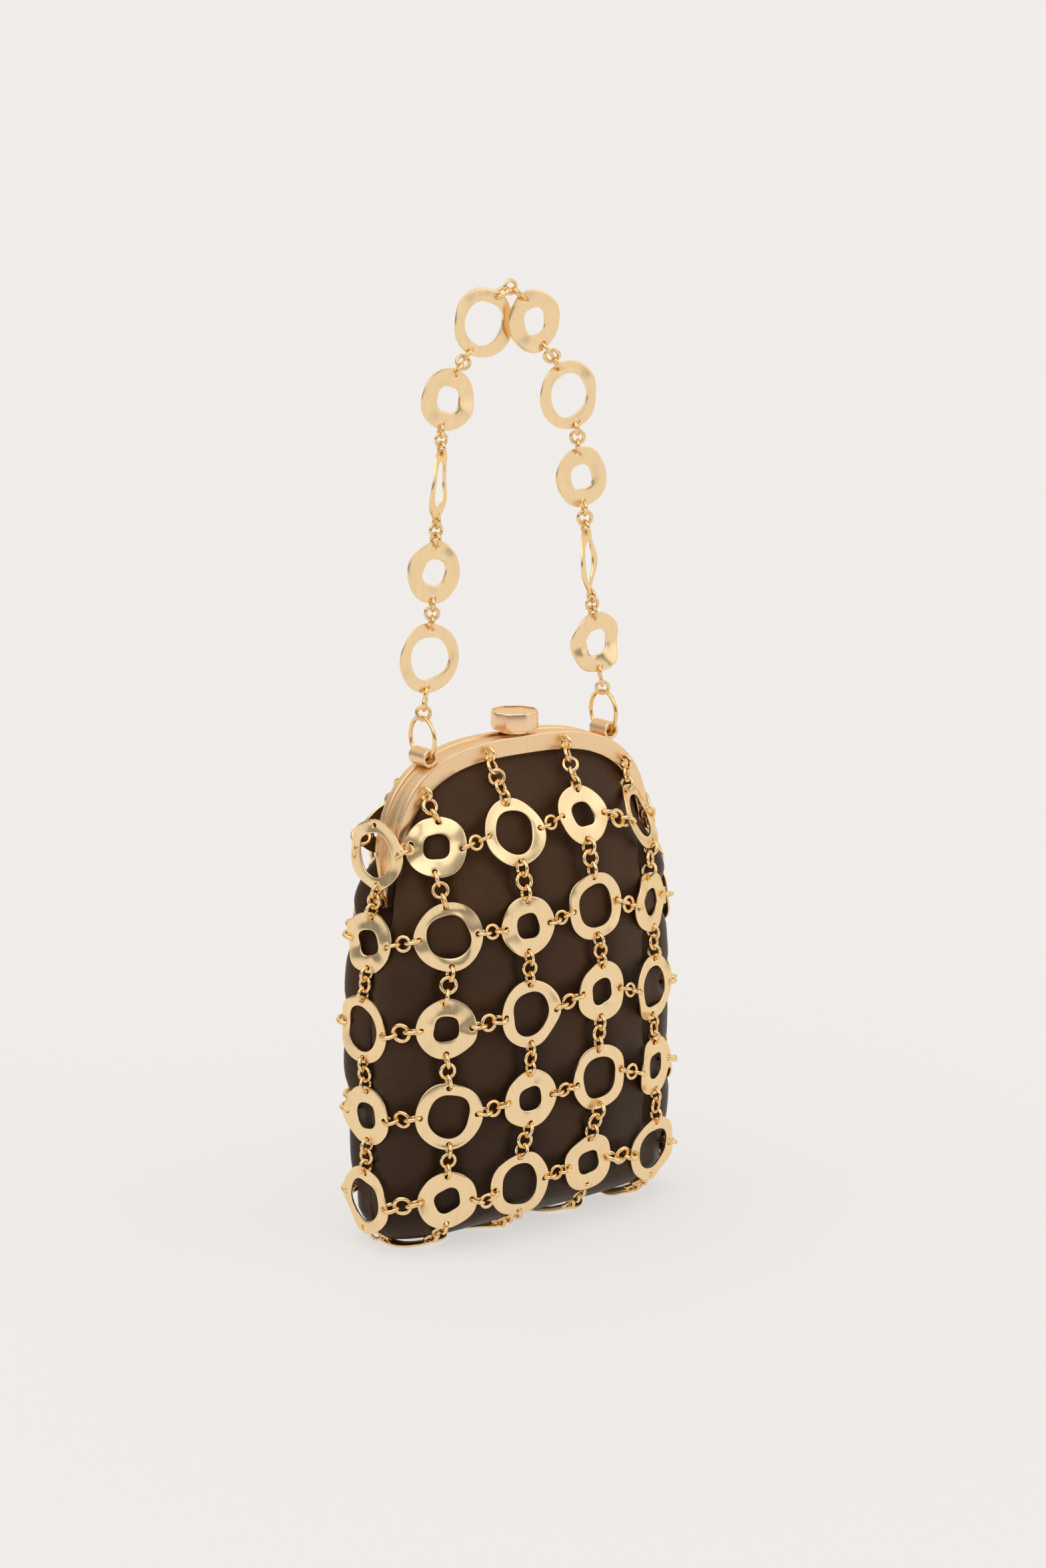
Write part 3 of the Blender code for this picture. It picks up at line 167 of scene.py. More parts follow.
# Beaten waves as (waves round the ring, share) pairs, and how hard single rings are beaten
RIM_WAVES = ((2, 0.016), (3, 0.016), (4, 0.012), (5, 0.007))
HOLE_WAVES = ((2, 0.05), (3, 0.035), (5, 0.012))
FACE_WAVES = ((2, 0.55), (3, 0.50), (4, 0.42), (5, 0.26), (6, 0.12), (7, 0.06))
CALM_STRAP_SEEDS = (80, 81, 83, 84, 87, 88, 89)
BEATEN_SHARES = {10: 1.2, 11: 1.4, 13: 0.6, 20: 1.5, 21: 1.6, 31: 1.6, 85: 2.3}
BEATEN_SHARES.update((seed, 0.75) for seed in CALM_STRAP_SEEDS)
LARGE_SQUARENESS, SMALL_SQUARENESS, BRUSHING_SIZE = 2.35, 2.9, 0.025

# Clasp, from the cap's foot or the stem's middle
STEM_RADIUS, STEM_SEAT_RADIUS, STEM_SEAT, STEM_TOP = 0.0019, 0.0022, 0.0046, 0.0048
SPRING_ROOM_RADIUS, SPRING_ROOM, CAP_WALL_RADIUS = 0.0057, 0.0058, 0.0062
CAP_TURN, CAP_CORNER = 6.0, 1.045

# Stage
KEY_AZIMUTH, KEY_ELEVATION, KEY_WIDTH = -78.0, 58.0, 84.0
FILL_AZIMUTH, FILL_ELEVATION, FILL_WIDTH = 48.0, 26.0, 64.0
LOOK_AT, FLOOR_SIZE = Vector((0.00381, 0.0, 0.1646)), 900.0


def length_setting(name, description, default, least=0.0):
    return FloatProperty(name=name, description=description, default=default, min=least,
                         precision=6, unit="LENGTH")


def share_setting(name, description, default):
    return FloatProperty(name=name, description=description, default=default, min=0.0, max=1.0,
                         subtype="FACTOR")


def strength_setting(name, description, default):
    return FloatProperty(name=name, description=description, default=default, min=0.0)


def count_setting(name, description, default, least):
    return IntProperty(name=name, description=description, default=default, min=least)


def color_setting(name, description, default):
    return FloatVectorProperty(name=name, description=description, default=default, min=0.0,
                               max=1.0, subtype="COLOR")


class LeatherSettings(PropertyGroup):
    thickness: length_setting("Thickness", "Thickness of the leather and its lining", 0.0012, 0.0004)
    puff: length_setting("Puff", "How far the leather swells between the rings", 0.0024)
    press: length_setting("Press", "How deep the chains press into the leather", 0.0040)
    grain: length_setting("Grain", "Height of the leather's grain", 0.00015)
    color: color_setting("Leather", "Colour of the leather", (0.050, 0.0200, 0.0045))
    lining: color_setting("Lining", "Colour of the lining", (0.030, 0.018, 0.012))


class RingSettings(PropertyGroup):
    large_radius: length_setting("Large ring", "Outer radius of a wide-holed ring", LARGE_RADIUS, 0.006)
    large_hole: length_setting("Large hole", "Radius of a wide hole", 0.0078, 0.002)
    small_radius: length_setting("Small ring", "Outer radius of a small-holed ring", SMALL_RADIUS, 0.006)
    small_hole: length_setting("Small hole", "Radius of a small-holed ring's hole", 0.0046, 0.001)
    thickness: length_setting("Thickness", "Thickness of a flat ring", 0.0009, 0.0003)
    hammer: length_setting("Hammering", "Height of the waves beaten into a ring", 0.00085)
    drill: length_setting("Drilled hole", "Radius of the holes for the jump rings", 0.0010, 0.0005)
    inset: length_setting("Hole inset", "From a ring's rim to a drilled hole's middle", 0.0020, 0.0012)
    wire: length_setting("Link wire", "Wire of the jump rings", 0.00138, 0.0005)
    loop_wire: length_setting("Loop wire", "Wire of the two large loops", 0.0016, 0.0005)
    sectors: count_setting("Sectors", "Faces round a flat ring", 48, 24)


class MetalSettings(PropertyGroup):
    plate: color_setting("Flat rings", "Champagne gold of the flat rings", (0.98, 0.74, 0.43))
    wire: color_setting("Wire", "Polished gold of the jump rings", (0.97, 0.71, 0.38))
    band: color_setting("Frame", "Rose-tinged gold of the frame", (0.97, 0.69, 0.41))
    cap: color_setting("Button", "Rose gold of the button's cap", (0.98, 0.69, 0.44))
    satin: share_setting("Satin", "Roughness of the brushed faces", 0.24)
    polish: share_setting("Polish", "Roughness of the polished wire", 0.13)


class ClaspSettings(PropertyGroup):
    cap_radius: length_setting("Cap", "Radius of the button's cap over its corners", 0.0088, 0.004)
    cap_height: length_setting("Cap height", "Height of the button's cap", 0.0066, 0.002)
    rim: length_setting("Rim", "Width of the raised rim round the cap's top", 0.0007, 0.0002)
    dish: length_setting("Dish", "How far the cap's top lies below its rim", 0.0004)
    sides: count_setting("Sides", "Flats round the cap", 8, 3)


class StageSettings(PropertyGroup):
    floor: color_setting("Floor", "Colour of the floor", (0.26, 0.252, 0.246))
    glow: strength_setting("Floor glow", "Share of the floor's light that no shadow dims", 2.38)
    walls: color_setting("Walls", "Colour of the studio at eye level", (0.16, 0.15, 0.14))
    ceiling: color_setting("Ceiling", "Colour of the studio overhead", (0.66, 0.645, 0.63))
    backdrop: color_setting("Backdrop", "Colour of the paper behind the bag", (0.86, 0.845, 0.83))
    paper: color_setting("Paper", "Pale ground that the camera sees past the floor", (0.863, 0.831, 0.807))
    key: strength_setting("Key light", "Strength of the large light from the left", 1.0)
    fill: strength_setting("Fill light", "Strength of the light from the right", 0.6)
    azimuth: FloatProperty(name="Azimuth", description="Camera's angle round the bag from its front",
                           default=radians(-36.35), subtype="ANGLE")
    elevation: FloatProperty(name="Elevation", description="Camera's angle above the floor",
                             default=radians(12.86), subtype="ANGLE")
    distance: length_setting("Distance", "From the camera to what it looks at", 1.2712)
    lens: FloatProperty(name="Lens", description="Focal length on a sensor 36 mm tall",
                        default=79.46, subtype="DISTANCE_CAMERA")


class BagSettings(PropertyGroup):
    leather: PointerProperty(type=LeatherSettings)
    rings: PointerProperty(type=RingSettings)
    metal: PointerProperty(type=MetalSettings)
    clasp: PointerProperty(type=ClaspSettings)
    stage: PointerProperty(type=StageSettings)


# Surfaces that the net lies on

def power(value, exponent):
    return abs(value) ** exponent * (1.0 if value > 0.0 else -1.0)


def smooth(value):
    value = min(max(value, 0.0), 1.0)
    return value * value * (3.0 - 2.0 * value)


def eased(start, end, share):
    return start + (end - start) * share * share


def rounded_off(z, radius):
    """How far a rounded foot draws the wall in at a height."""
    rise = min(max(radius - (z - FOOT_Z), 0.0), radius)
    return radius - sqrt(radius ** 2 - rise ** 2)


def pouch_axes(z):
    """Half width and half depth of the pouch at a height."""
    if z >= BELLY_Z:
        share = min((z - BELLY_Z) / (RIM_Z - BELLY_Z), 1.25)
        width = eased(BAG_HALF_WIDTH, RIM_HALF_WIDTH, share)
        depth = eased(BAG_HALF_DEPTH, RIM_HALF_DEPTH, share)
    else:
        share = (BELLY_Z - z) / (BELLY_Z - FOOT_Z)
        width = eased(BAG_HALF_WIDTH, FOOT_HALF_WIDTH, share)
        depth = eased(BAG_HALF_DEPTH, FOOT_HALF_DEPTH, share)
    return width - rounded_off(z, SIDE_FOOT_RADIUS), depth - rounded_off(z, FOOT_RADIUS)


def oval_depth(x, width, depth):
    share = min(abs(x) / width, 0.999)
    return depth * (1.0 - share ** SECTION_POWER) ** (1.0 / SECTION_POWER)


def pouch_depth(x, z):
    return oval_depth(x, *pouch_axes(z))


def arch_z(x, side_inset, top_inset):
    share = min(abs(x) / (ARCH_HALF_WIDTH - side_inset), 0.999)
    rise = (1.0 - share ** ARCH_POWER) ** (1.0 / ARCH_POWER)
    return HINGE_Z + (ARCH_HEIGHT - top_inset) * rise


def arch_point(angle, side_inset, top_inset, y):
    x = (ARCH_HALF_WIDTH - side_inset) * power(cos(angle), 2.0 / ARCH_POWER)
    z = HINGE_Z + (ARCH_HEIGHT - top_inset) * abs(sin(angle)) ** (2.0 / ARCH_POWER)
    return Vector((x, y, z))


def panel_depth(x, z):
    """Depth of the upper leather, which bulges out below the frame's band."""
    if abs(x) >= ARCH_HALF_WIDTH - BAND_ARM - FIT_GAP:
        return PANEL_EDGE_DEPTH
    free_z = arch_z(x, BAND_ARM + FIT_GAP, BAND_TOP + FIT_GAP)
    hem = oval_depth(x, RIM_HALF_WIDTH - PANEL_INSET, RIM_HALF_DEPTH - PANEL_INSET)
    share = min(max((free_z - z) / (free_z - HINGE_Z), 0.0), 1.0)
    return PANEL_EDGE_DEPTH + (max(hem, PANEL_EDGE_DEPTH) - PANEL_EDGE_DEPTH) * sin(share * pi / 2.0)


def ring_is_large(column, row):
    return (column + row) % 2 == 1


def ring_reach(large):
    rings = bpy.context.scene.wrist_bag.rings
    return (rings.large_radius if large else rings.small_radius) - rings.inset


def column_x(column):
    x = OUTER_COLUMN_X if column % 5 in (1, 4) else INNER_COLUMN_X
    return -x if column in (1, 2, 8, 9) else x


def net_height(column, row):
    z = NET_FOOT_Z + NET_PITCH * (NET_ROWS - row)
    if column in (SIDE_LEFT, SIDE_RIGHT):
        return z - SIDE_DROOP
    return z + (INNER_LIFT if column % 5 in (2, 3) else 0.0)


def placed(middle, across, up, out):
    return Matrix.Translation(middle) @ Matrix((across, up, out)).transposed().to_4x4()


def side_ring_frame(hand, row, z, reach):
    """Place of a ring on the gusset; the top one hangs free beside the hinge."""
    across = Vector((0.0, hand, 0.0))
    if row == 1:
        up = Vector((-hand * TOP_SIDE_LEAN, 0.0, 1.0)).normalized()
        return placed(Vector((hand * TOP_SIDE_RING_X, 0.0, z)), across, up, across.cross(up).normalized())
    low = Vector((hand * pouch_axes(z - reach)[0], 0.0, z - reach))
    high = Vector((hand * pouch_axes(z + reach)[0], 0.0, z + reach))
    up = (high - low).normalized()
    out = across.cross(up).normalized()
    return placed((high + low) / 2.0 + out * RING_STANDOFF, across, up, out)


def wall_ring_frame(side, x, row, z, reach):
    """Place of a ring that lies on the front or rear leather."""
    depth = panel_depth if row == 1 else pouch_depth
    points = [Vector((x + dx, side * depth(x + dx, z + dz), z + dz))
              for dx, dz in ((-reach, 0.0), (reach, 0.0), (0.0, -reach), (0.0, reach))]
    across = points[1] - points[0]
    up = (points[3] - points[2]).normalized()
    standoff = RING_STANDOFF
    if row == 1 and abs(x) == OUTER_COLUMN_X:
        across.y *= CORNER_TURN
        standoff = CORNER_STANDOFF
    across = across.normalized() * -side
    out = across.cross(up).normalized()
    up = out.cross(across).normalized()
    return placed(Vector((x, side * depth(x, z), z)) + out * standoff, across, up, out)


def settled_frame(column, row):
    """Place of a flat ring of the net: X runs round the bag, Y up and Z out of it."""
    z = net_height(column, row)
    reach = (LARGE_RADIUS if ring_is_large(column, row) else SMALL_RADIUS) / 2.0
    if column in (SIDE_LEFT, SIDE_RIGHT):
        return side_ring_frame(-1.0 if column == SIDE_LEFT else 1.0, row, z, reach)
    return wall_ring_frame(-1.0 if column < SIDE_RIGHT else 1.0, column_x(column), row, z, reach)


def plate_frame(column, row):
    """Place of a flat ring, with the turn, lean and shift that single rings have settled in."""
    place = settled_frame(column, row)
    turn, lean, shift = RING_TURNS.get((column, row), (0.0, 0.0, UNMOVED))
    if column in (SIDE_LEFT, SIDE_RIGHT) and not turn:
        turn = SIDE_TURN if column == SIDE_LEFT else -SIDE_TURN
    turned_place = Matrix.Rotation(radians(turn), 4, "Z") @ place.to_3x3().to_4x4()
    leaned = turned_place @ Matrix.Rotation(radians(lean), 4, "Z")
    return Matrix.Translation(place.translation + Vector(shift)) @ leaned


def net_hole(column, row, x, y):
    """Middle of one of a net ring's small holes."""
    reach = ring_reach(ring_is_large(column, row))
    return plate_frame(column, row) @ Vector((x * reach, y * reach, 0.0))


def outwards(column, row):
    return (plate_frame(column, row).to_3x3() @ LEVEL).normalized()


def across_ends(column, row):
    """Ends of the chain to the next ring of a row, with its direction out of the bag."""
    after = (column + 1) % COLUMNS
    out = outwards(column, row) + outwards(after, row)
    return net_hole(column, row, 1.0, 0.0), net_hole(after, row, -1.0, 0.0), out


def upright_ends(column, row):
    """Ends of the chain to the ring above, with its direction out of the bag."""
    low, high = net_hole(column, row, 0.0, 1.0), net_hole(column, row - 1, 0.0, -1.0)
    return low, high, outwards(column, row)


def chain_ends():
    """Both ends of every chain on the pouch, with its direction out of the bag."""
    ends = []
    for row in range(1, NET_ROWS + 1):
        for column in range(COLUMNS):
            ends.append(across_ends(column, row))
            if row > 1:
                ends.append(upright_ends(column, row))
    return ends


# Modelling helpers

def grid(columns, rows, place, uv=None):
    """A grid whose corners run from 0 to 1 both ways, each vertex moved to place(u, v)."""
    bm = bmesh.new()
    if uv:
        bm.loops.layers.uv.new(uv)
    bmesh.ops.create_grid(bm, x_segments=columns, y_segments=rows, size=0.5, calc_uvs=bool(uv))
    for vert in bm.verts:
        vert.co = place(vert.co.x + 0.5, vert.co.y + 0.5)
    return bm


def turned(bm, profile, steps, place=None):
    """Adds a profile of (radius, height) points, spun about Z and moved to its place."""
    points = [bm.verts.new((r, 0.0, z)) for r, z in profile]
    edges = [bm.edges.new(pair) for pair in zip(points, points[1:])]
    before = set(bm.verts) - set(points)
    bmesh.ops.spin(bm, geom=points + edges, cent=(0.0, 0.0, 0.0), axis=(0.0, 0.0, 1.0),
                   angle=2.0 * pi, steps=steps, use_merge=True)
    made = [vert for vert in bm.verts if vert not in before]
    bmesh.ops.remove_doubles(bm, verts=made, dist=1e-6)
    made = [vert for vert in bm.verts if vert not in before]
    if place is not None:
        bmesh.ops.transform(bm, matrix=place, verts=made)


def wire_ring(bm, radius, wire, steps, sides, place=None):
    """Adds a ring of round wire that lies in the XY plane before it is moved to its place."""
    profile = [(radius + wire / 2.0 * cos(2.0 * pi * i / sides), wire / 2.0 * sin(2.0 * pi * i / sides))
               for i in range(sides + 1)]
    turned(bm, profile, steps, place)


def laid(middle, axis, angle=pi / 2.0):
    """Place at a point, turned about an axis by a quarter turn or another angle."""
    return Matrix.Translation(middle) @ Matrix.Rotation(angle, 4, axis)


def rounded_bar(low, high, inner, outer, soft):
    """Profile of a tube with softened rims, as (radius, height) points."""
    return ((inner, low + soft), (inner + soft, low), (outer - soft, low), (outer, low + soft),
            (outer, high - soft), (outer - soft, high), (inner + soft, high), (inner, high - soft),
            (inner, low + soft))


def as_mesh(bm, name):
    mesh = bpy.data.meshes.new(name)
    bm.to_mesh(mesh)
    bm.free()
    return mesh


def stamp(bm, mesh, place):
    """Adds a copy of a mesh at a place."""
    before = len(bm.verts)
    bm.from_mesh(mesh)
    bm.verts.ensure_lookup_table()
    bmesh.ops.transform(bm, matrix=place, verts=bm.verts[before:])


def piece(name, bm, material, crease=50.0, materials=()):
    """Turns a bmesh into a finished object at the origin."""
    mesh = as_mesh(bm, name)
    obj = bpy.data.objects.new(name, mesh)
    bpy.context.scene.collection.objects.link(obj)
    for each in (material, *materials):
        mesh.materials.append(each)
    mesh.shade_smooth()
    mesh.set_sharp_from_angle(angle=radians(crease))
    return obj


def settle(obj):
    """Applies an object's modifiers."""
    view = bpy.context.evaluated_depsgraph_get()
    done = bpy.data.meshes.new_from_object(obj.evaluated_get(view), depsgraph=view)
    obj.modifiers.clear()
    old, obj.data = obj.data, done
    bpy.data.meshes.remove(old)
    done.name = obj.name
    return obj


def stand_for(obj, *nodes):
    """The piece rides on the body of the CAD nodes that it replaces."""
    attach(obj, frame["nodes"][nodes[0]]["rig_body"])
    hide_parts(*nodes)
    return obj


def outward(bm):
    bmesh.ops.recalc_face_normals(bm, faces=bm.faces)
    return bm


# Materials

def shader_nodes(name, color, roughness, metallic):
    made = bpy.data.materials.new(name)
    made.use_nodes = True
    shader = made.node_tree.nodes["Principled BSDF"]
    shader.inputs["Base Color"].default_value = (*color, 1.0)
    shader.inputs["Roughness"].default_value = roughness
    shader.inputs["Metallic"].default_value = metallic
    if metallic:
        shader.inputs["Specular Tint"].default_value = (1.0, 0.88, 0.66, 1.0)
    return made, made.node_tree.nodes, made.node_tree.links, shader


def noise_on(nodes, links, source, scale, detail=4.0, stretch=(1.0, 1.0, 1.0)):
    """Noise that reads object or UV coordinates, stretched along an axis."""
    coordinates = nodes.new("ShaderNodeTexCoord")
    mapping = nodes.new("ShaderNodeMapping")
    mapping.inputs["Scale"].default_value = stretch
    pattern = nodes.new("ShaderNodeTexNoise")
    pattern.inputs["Scale"].default_value = scale
    pattern.inputs["Detail"].default_value = detail
    links.new(coordinates.outputs[source], mapping.inputs["Vector"])
    links.new(mapping.outputs["Vector"], pattern.inputs["Vector"])
    return pattern.outputs["Fac"]


def spread(nodes, links, value, low, high, from_low=0.3, from_high=0.7):
    """Maps a pattern to a range of values."""
    ranged = nodes.new("ShaderNodeMapRange")
    ranged.inputs["From Min"].default_value = from_low
    ranged.inputs["From Max"].default_value = from_high
    ranged.inputs["To Min"].default_value = low
    ranged.inputs["To Max"].default_value = high
    links.new(value, ranged.inputs["Value"])
    return ranged.outputs["Result"]


def tinted(nodes, links, value, first, second):
    """Blends two colours by a pattern."""
    ramp = nodes.new("ShaderNodeValToRGB")
    ramp.color_ramp.elements[0].position = 0.35
    ramp.color_ramp.elements[0].color = (*first, 1.0)
    ramp.color_ramp.elements[1].position = 0.65
    ramp.color_ramp.elements[1].color = (*second, 1.0)
    links.new(value, ramp.inputs["Fac"])
    return ramp.outputs["Color"]


def raised(nodes, links, shader, height, distance, strength=1.0, under=None):
    bump = nodes.new("ShaderNodeBump")
    bump.inputs["Strength"].default_value = strength
    bump.inputs["Distance"].default_value = distance
    links.new(height, bump.inputs["Height"])
    if under is not None:
        links.new(under, bump.inputs["Normal"])
    links.new(bump.outputs["Normal"], shader.inputs["Normal"])
    return bump.outputs["Normal"]


def brushed_metal(name, color, roughness, source, stretch):
    """Satin metal with fine brushing along one way."""
    made, nodes, links, shader = shader_nodes(name, color, roughness, 1.0)
    lines = noise_on(nodes, links, source, 1.0, 2.0, stretch)
    links.new(spread(nodes, links, lines, roughness - 0.02, roughness + 0.02), shader.inputs["Roughness"])
    deep = tuple(c * 0.94 for c in color)
    links.new(tinted(nodes, links, lines, deep, color), shader.inputs["Base Color"])
    raised(nodes, links, shader, lines, 0.0000003)
    return made


def polished_metal(name, color, roughness):
    """Bright wire with faint handling marks."""
    made, nodes, links, shader = shader_nodes(name, color, roughness, 1.0)
    marks = noise_on(nodes, links, "Object", 700.0, 3.0)
    links.new(spread(nodes, links, marks, roughness - 0.02, roughness + 0.03), shader.inputs["Roughness"])
    clouds = noise_on(nodes, links, "Object", 120.0, 2.0)
    deep = (color[0] * 0.93, color[1] * 0.88, color[2] * 0.80)
    links.new(tinted(nodes, links, clouds, deep, color), shader.inputs["Base Color"])
    return made


def painted_shade_upwards(nodes, links):
    """Factor of painted shade and light that rises from dark at the foot to pale on the leather under the
    frame.
    """
    coordinates = nodes.new("ShaderNodeTexCoord")
    split = nodes.new("ShaderNodeSeparateXYZ")
    links.new(coordinates.outputs["Object"], split.inputs["Vector"])
    return spread(nodes, links, split.outputs["Z"], 0.62, 1.30, 0.01, 0.17)


def grained_leather(name, color, grain):
    """Fine pebbled leather with cloudy tone and roughness, painted darker towards its foot and paler under
    the frame as painted shade and light.
    """
    made, nodes, links, shader = shader_nodes(name, color, 0.5, 0.0)
    shader.inputs["Specular IOR Level"].default_value = 0.22
    clouds = noise_on(nodes, links, "Object", 42.0, 4.0)
    deep = tuple(c * 0.80 for c in color)
    pale = tuple(c * 1.22 for c in color)
    tint = nodes.new("ShaderNodeMix")
    tint.data_type, tint.blend_type = "RGBA", "MULTIPLY"
    tint.inputs["Factor"].default_value = 1.0
    links.new(tinted(nodes, links, clouds, deep, pale), tint.inputs["A"])
    # painted shade and light: the colour darkens towards the foot and pales under the frame
    links.new(painted_shade_upwards(nodes, links), tint.inputs["B"])
    links.new(tint.outputs["Result"], shader.inputs["Base Color"])
    links.new(spread(nodes, links, clouds, 0.36, 0.50), shader.inputs["Roughness"])
    coordinates = nodes.new("ShaderNodeTexCoord")
    cells = nodes.new("ShaderNodeTexVoronoi")
    cells.feature = "DISTANCE_TO_EDGE"
    cells.inputs["Scale"].default_value = 1250.0
    links.new(coordinates.outputs["Object"], cells.inputs["Vector"])
    pebbles = spread(nodes, links, cells.outputs["Distance"], 0.0, 1.0, 0.0, 0.25)
    first = raised(nodes, links, shader, pebbles, grain, 0.55)
    creases = noise_on(nodes, links, "Object", 330.0, 6.0)
    raised(nodes, links, shader, creases, grain * 4.0, 0.7, first)
    return made


def napped_lining(name, color):
    """Suede-like lining with a short nap."""
    made, nodes, links, shader = shader_nodes(name, color, 0.9, 0.0)
    shader.inputs["Sheen Weight"].default_value = 0.3
    nap = noise_on(nodes, links, "Object", 1800.0, 3.0)
    deep = tuple(c * 0.7 for c in color)
    links.new(tinted(nodes, links, nap, deep, color), shader.inputs["Base Color"])
    raised(nodes, links, shader, nap, 0.0001, 0.5)
    return made


def finish(key):
    """The material of one finish, made once."""
    made = bpy.data.materials.get(key)
    if made:
        return made
    bag = bpy.context.scene.wrist_bag
    metal = bag.metal
    if key == "champagne_gold":
        return brushed_metal(key, metal.plate, metal.satin, "UV", (30.0, 1.2, 1.0))
    if key == "rose_band_gold":
        return brushed_metal(key, metal.band, metal.satin + 0.10, "UV", (420.0, 3.0, 1.0))
    if key == "rose_cap_gold":
        return brushed_metal(key, metal.cap, metal.satin, "Object", (300.0, 300.0, 9000.0))
    if key == "polished_gold":
        return polished_metal(key, metal.wire, metal.polish)
    if key == "grained_leather":
        return grained_leather(key, bag.leather.color, bag.leather.grain)
    return napped_lining(key, bag.leather.lining)


# Leather

def leather_outward(point, side):
    """Direction out of the pouch in plan."""
    width, depth = pouch_axes(min(point.z, RIM_Z))
    x = power(point.x / width, SECTION_POWER - 1.0) / width
    y = power(point.y / depth, SECTION_POWER - 1.0) / depth
    out = Vector((x, y, 0.0))
    return out.normalized() if out.length > 0.0 else Vector((0.0, side, 0.0))


def pressed_points():
    """Points where the chains and the rings' backs lie on the leather, lightest at the sides."""
    points = []
    for start, end, out in chain_ends():
        for share in (0.1, 0.5, 0.9):
            middle = start.lerp(end, share) - out.normalized() * RING_STANDOFF
            points.append((middle, CHAIN_PRESS_SIZE, 1.0))
    for row in range(1, NET_ROWS + 1):
        for column in range(COLUMNS):
            middle = plate_frame(column, row) @ Vector((0.0, 0.0, -RING_STANDOFF))
            points.append((middle, RING_PRESS_SIZE, 0.0 if column in (SIDE_LEFT, SIDE_RIGHT) else RING_PRESS))
    return [(middle, size, weight * (SIDE_PRESS if abs(middle.y) < SIDE_PRESS_DEPTH else 1.0))
            for middle, size, weight in points]


def pressed_in(point, points):
    """Share of the full press at a point, from 0 to MOST_PRESS."""
    total = 0.0
    for middle, size, weight in points:
        gap = point - middle
        if abs(gap.z) < 3.0 * size and abs(gap.x) < 3.0 * size:
            total += weight * exp(-gap.length_squared / (size * size))
    return min(total, MOST_PRESS)


def leather_levels():
    """Rows of the leather from under the bag to the frame, as (part, share) pairs."""
    under = [("under", share) for share in (0.0, 0.5)]
    foot = [("wall", FOOT_RADIUS * (1.0 - cos(angle)) / (RIM_Z - FOOT_Z)) for angle in FOOT_ANGLES]
    start = FOOT_RADIUS / (RIM_Z - FOOT_Z)
    wall = [("wall", start + (1.0 - start) * i / WALL_ROWS) for i in range(1, WALL_ROWS + 1)]
    panel = [("panel", i / PANEL_ROWS) for i in range(1, PANEL_ROWS + 1)]
    return under + foot + wall + panel + [("seat", 1.0)]


def sag_at(x):
    """How far the underside rests lower, most at the left end."""
    return REST_SAG * (1.0 - smooth((x - SAG_START) / SAG_FADE))


def wall_point(round_x, round_y, side, z):
    """Point of the pouch's wall, with the gusset tucked and creased at the sides."""
    width, depth = pouch_axes(z)
    point = Vector((width * round_x, side * depth * round_y, z))
    tuck = GUSSET_TUCK * max(1.0 - (RIM_Z - z) / GUSSET_TUCK_LENGTH, 0.0) ** 1.5
    crease = GUSSET_CREASE * smooth((z - CREASE_START) / CREASE_FADE)
    fold = tuck * exp(-((point.y / GUSSET_TUCK_WIDTH) ** 2))
    fold += crease * exp(-((point.y / GUSSET_CREASE_WIDTH) ** 2))
    point.x -= fold * min(abs(point.x) / width, 1.0) ** 4 * (1.0 if point.x > 0.0 else -1.0)
    return point


def panel_point(rim, part, share, angle, side):
    """Point of the upper leather, between the pouch's rim and its seat in the frame."""
    into = CHANNEL_DEPTH - SEAT_GAP if part == "seat" else 0.0
    top = arch_point(angle, BAND_ARM + FIT_GAP - into, BAND_TOP + FIT_GAP - into, 0.0)
    x = rim.x + (top.x - rim.x) * smooth(share)
    z = RIM_Z + (top.z - RIM_Z) * share
    bulge = cos(share * pi / 2.0)
    deep = PANEL_EDGE_DEPTH + (max(abs(rim.y), PANEL_EDGE_DEPTH) - PANEL_EDGE_DEPTH) * bulge
    deep -= PANEL_INSET * smooth((z - RIM_Z) / PANEL_START) * bulge * min(abs(sin(angle)) * 2.0, 1.0)
    return Vector((x, side * deep, z))


def swell_at(point, side, points, settings):
    """How far the leather stands out between the chains, fuller at the rear corners."""
    wander = noise.noise(point * WANDER_SCALE + Vector((side * 3.0, 0.0, 0.0)))
    swell = settings.puff * (0.75 + 0.6 * wander) - settings.press * pressed_in(point, points)
    ends = smooth((abs(point.x) / pouch_axes(min(point.z, RIM_Z))[0] - CORNER_START) / CORNER_FADE)
    return swell + REAR_FULLNESS * ends * smooth((point.y - REAR_START) / REAR_FADE)


def leather_point(part, share, angle, side, points, settings):
    """Point of one row of the leather, at an angle from 0 at the right to pi at the left."""
    round_x = power(cos(angle), 2.0 / SECTION_POWER)
    round_y = abs(sin(angle)) ** (2.0 / SECTION_POWER)
    if part == "under":
        width, depth = pouch_axes(FOOT_Z)
        x = width * round_x
        return Vector((x, side * depth * round_y * share, FOOT_Z - sag_at(x)))
    point = wall_point(round_x, round_y, side, FOOT_Z + (RIM_Z - FOOT_Z) * share if part == "wall" else RIM_Z)
    if part in ("panel", "seat"):
        point = panel_point(point, part, share, angle, side)
    if part == "seat":
        return point
    free = smooth((point.z - FOOT_Z) / SWELL_START)
    point.z -= sag_at(point.x) * smooth(1.0 - (point.z - FOOT_Z) / SAG_HEIGHT)
    if part == "panel":
        free *= smooth((1.0 - share) / PANEL_FADE)
    return point + leather_outward(point, side) * swell_at(point, side, points, settings) * free


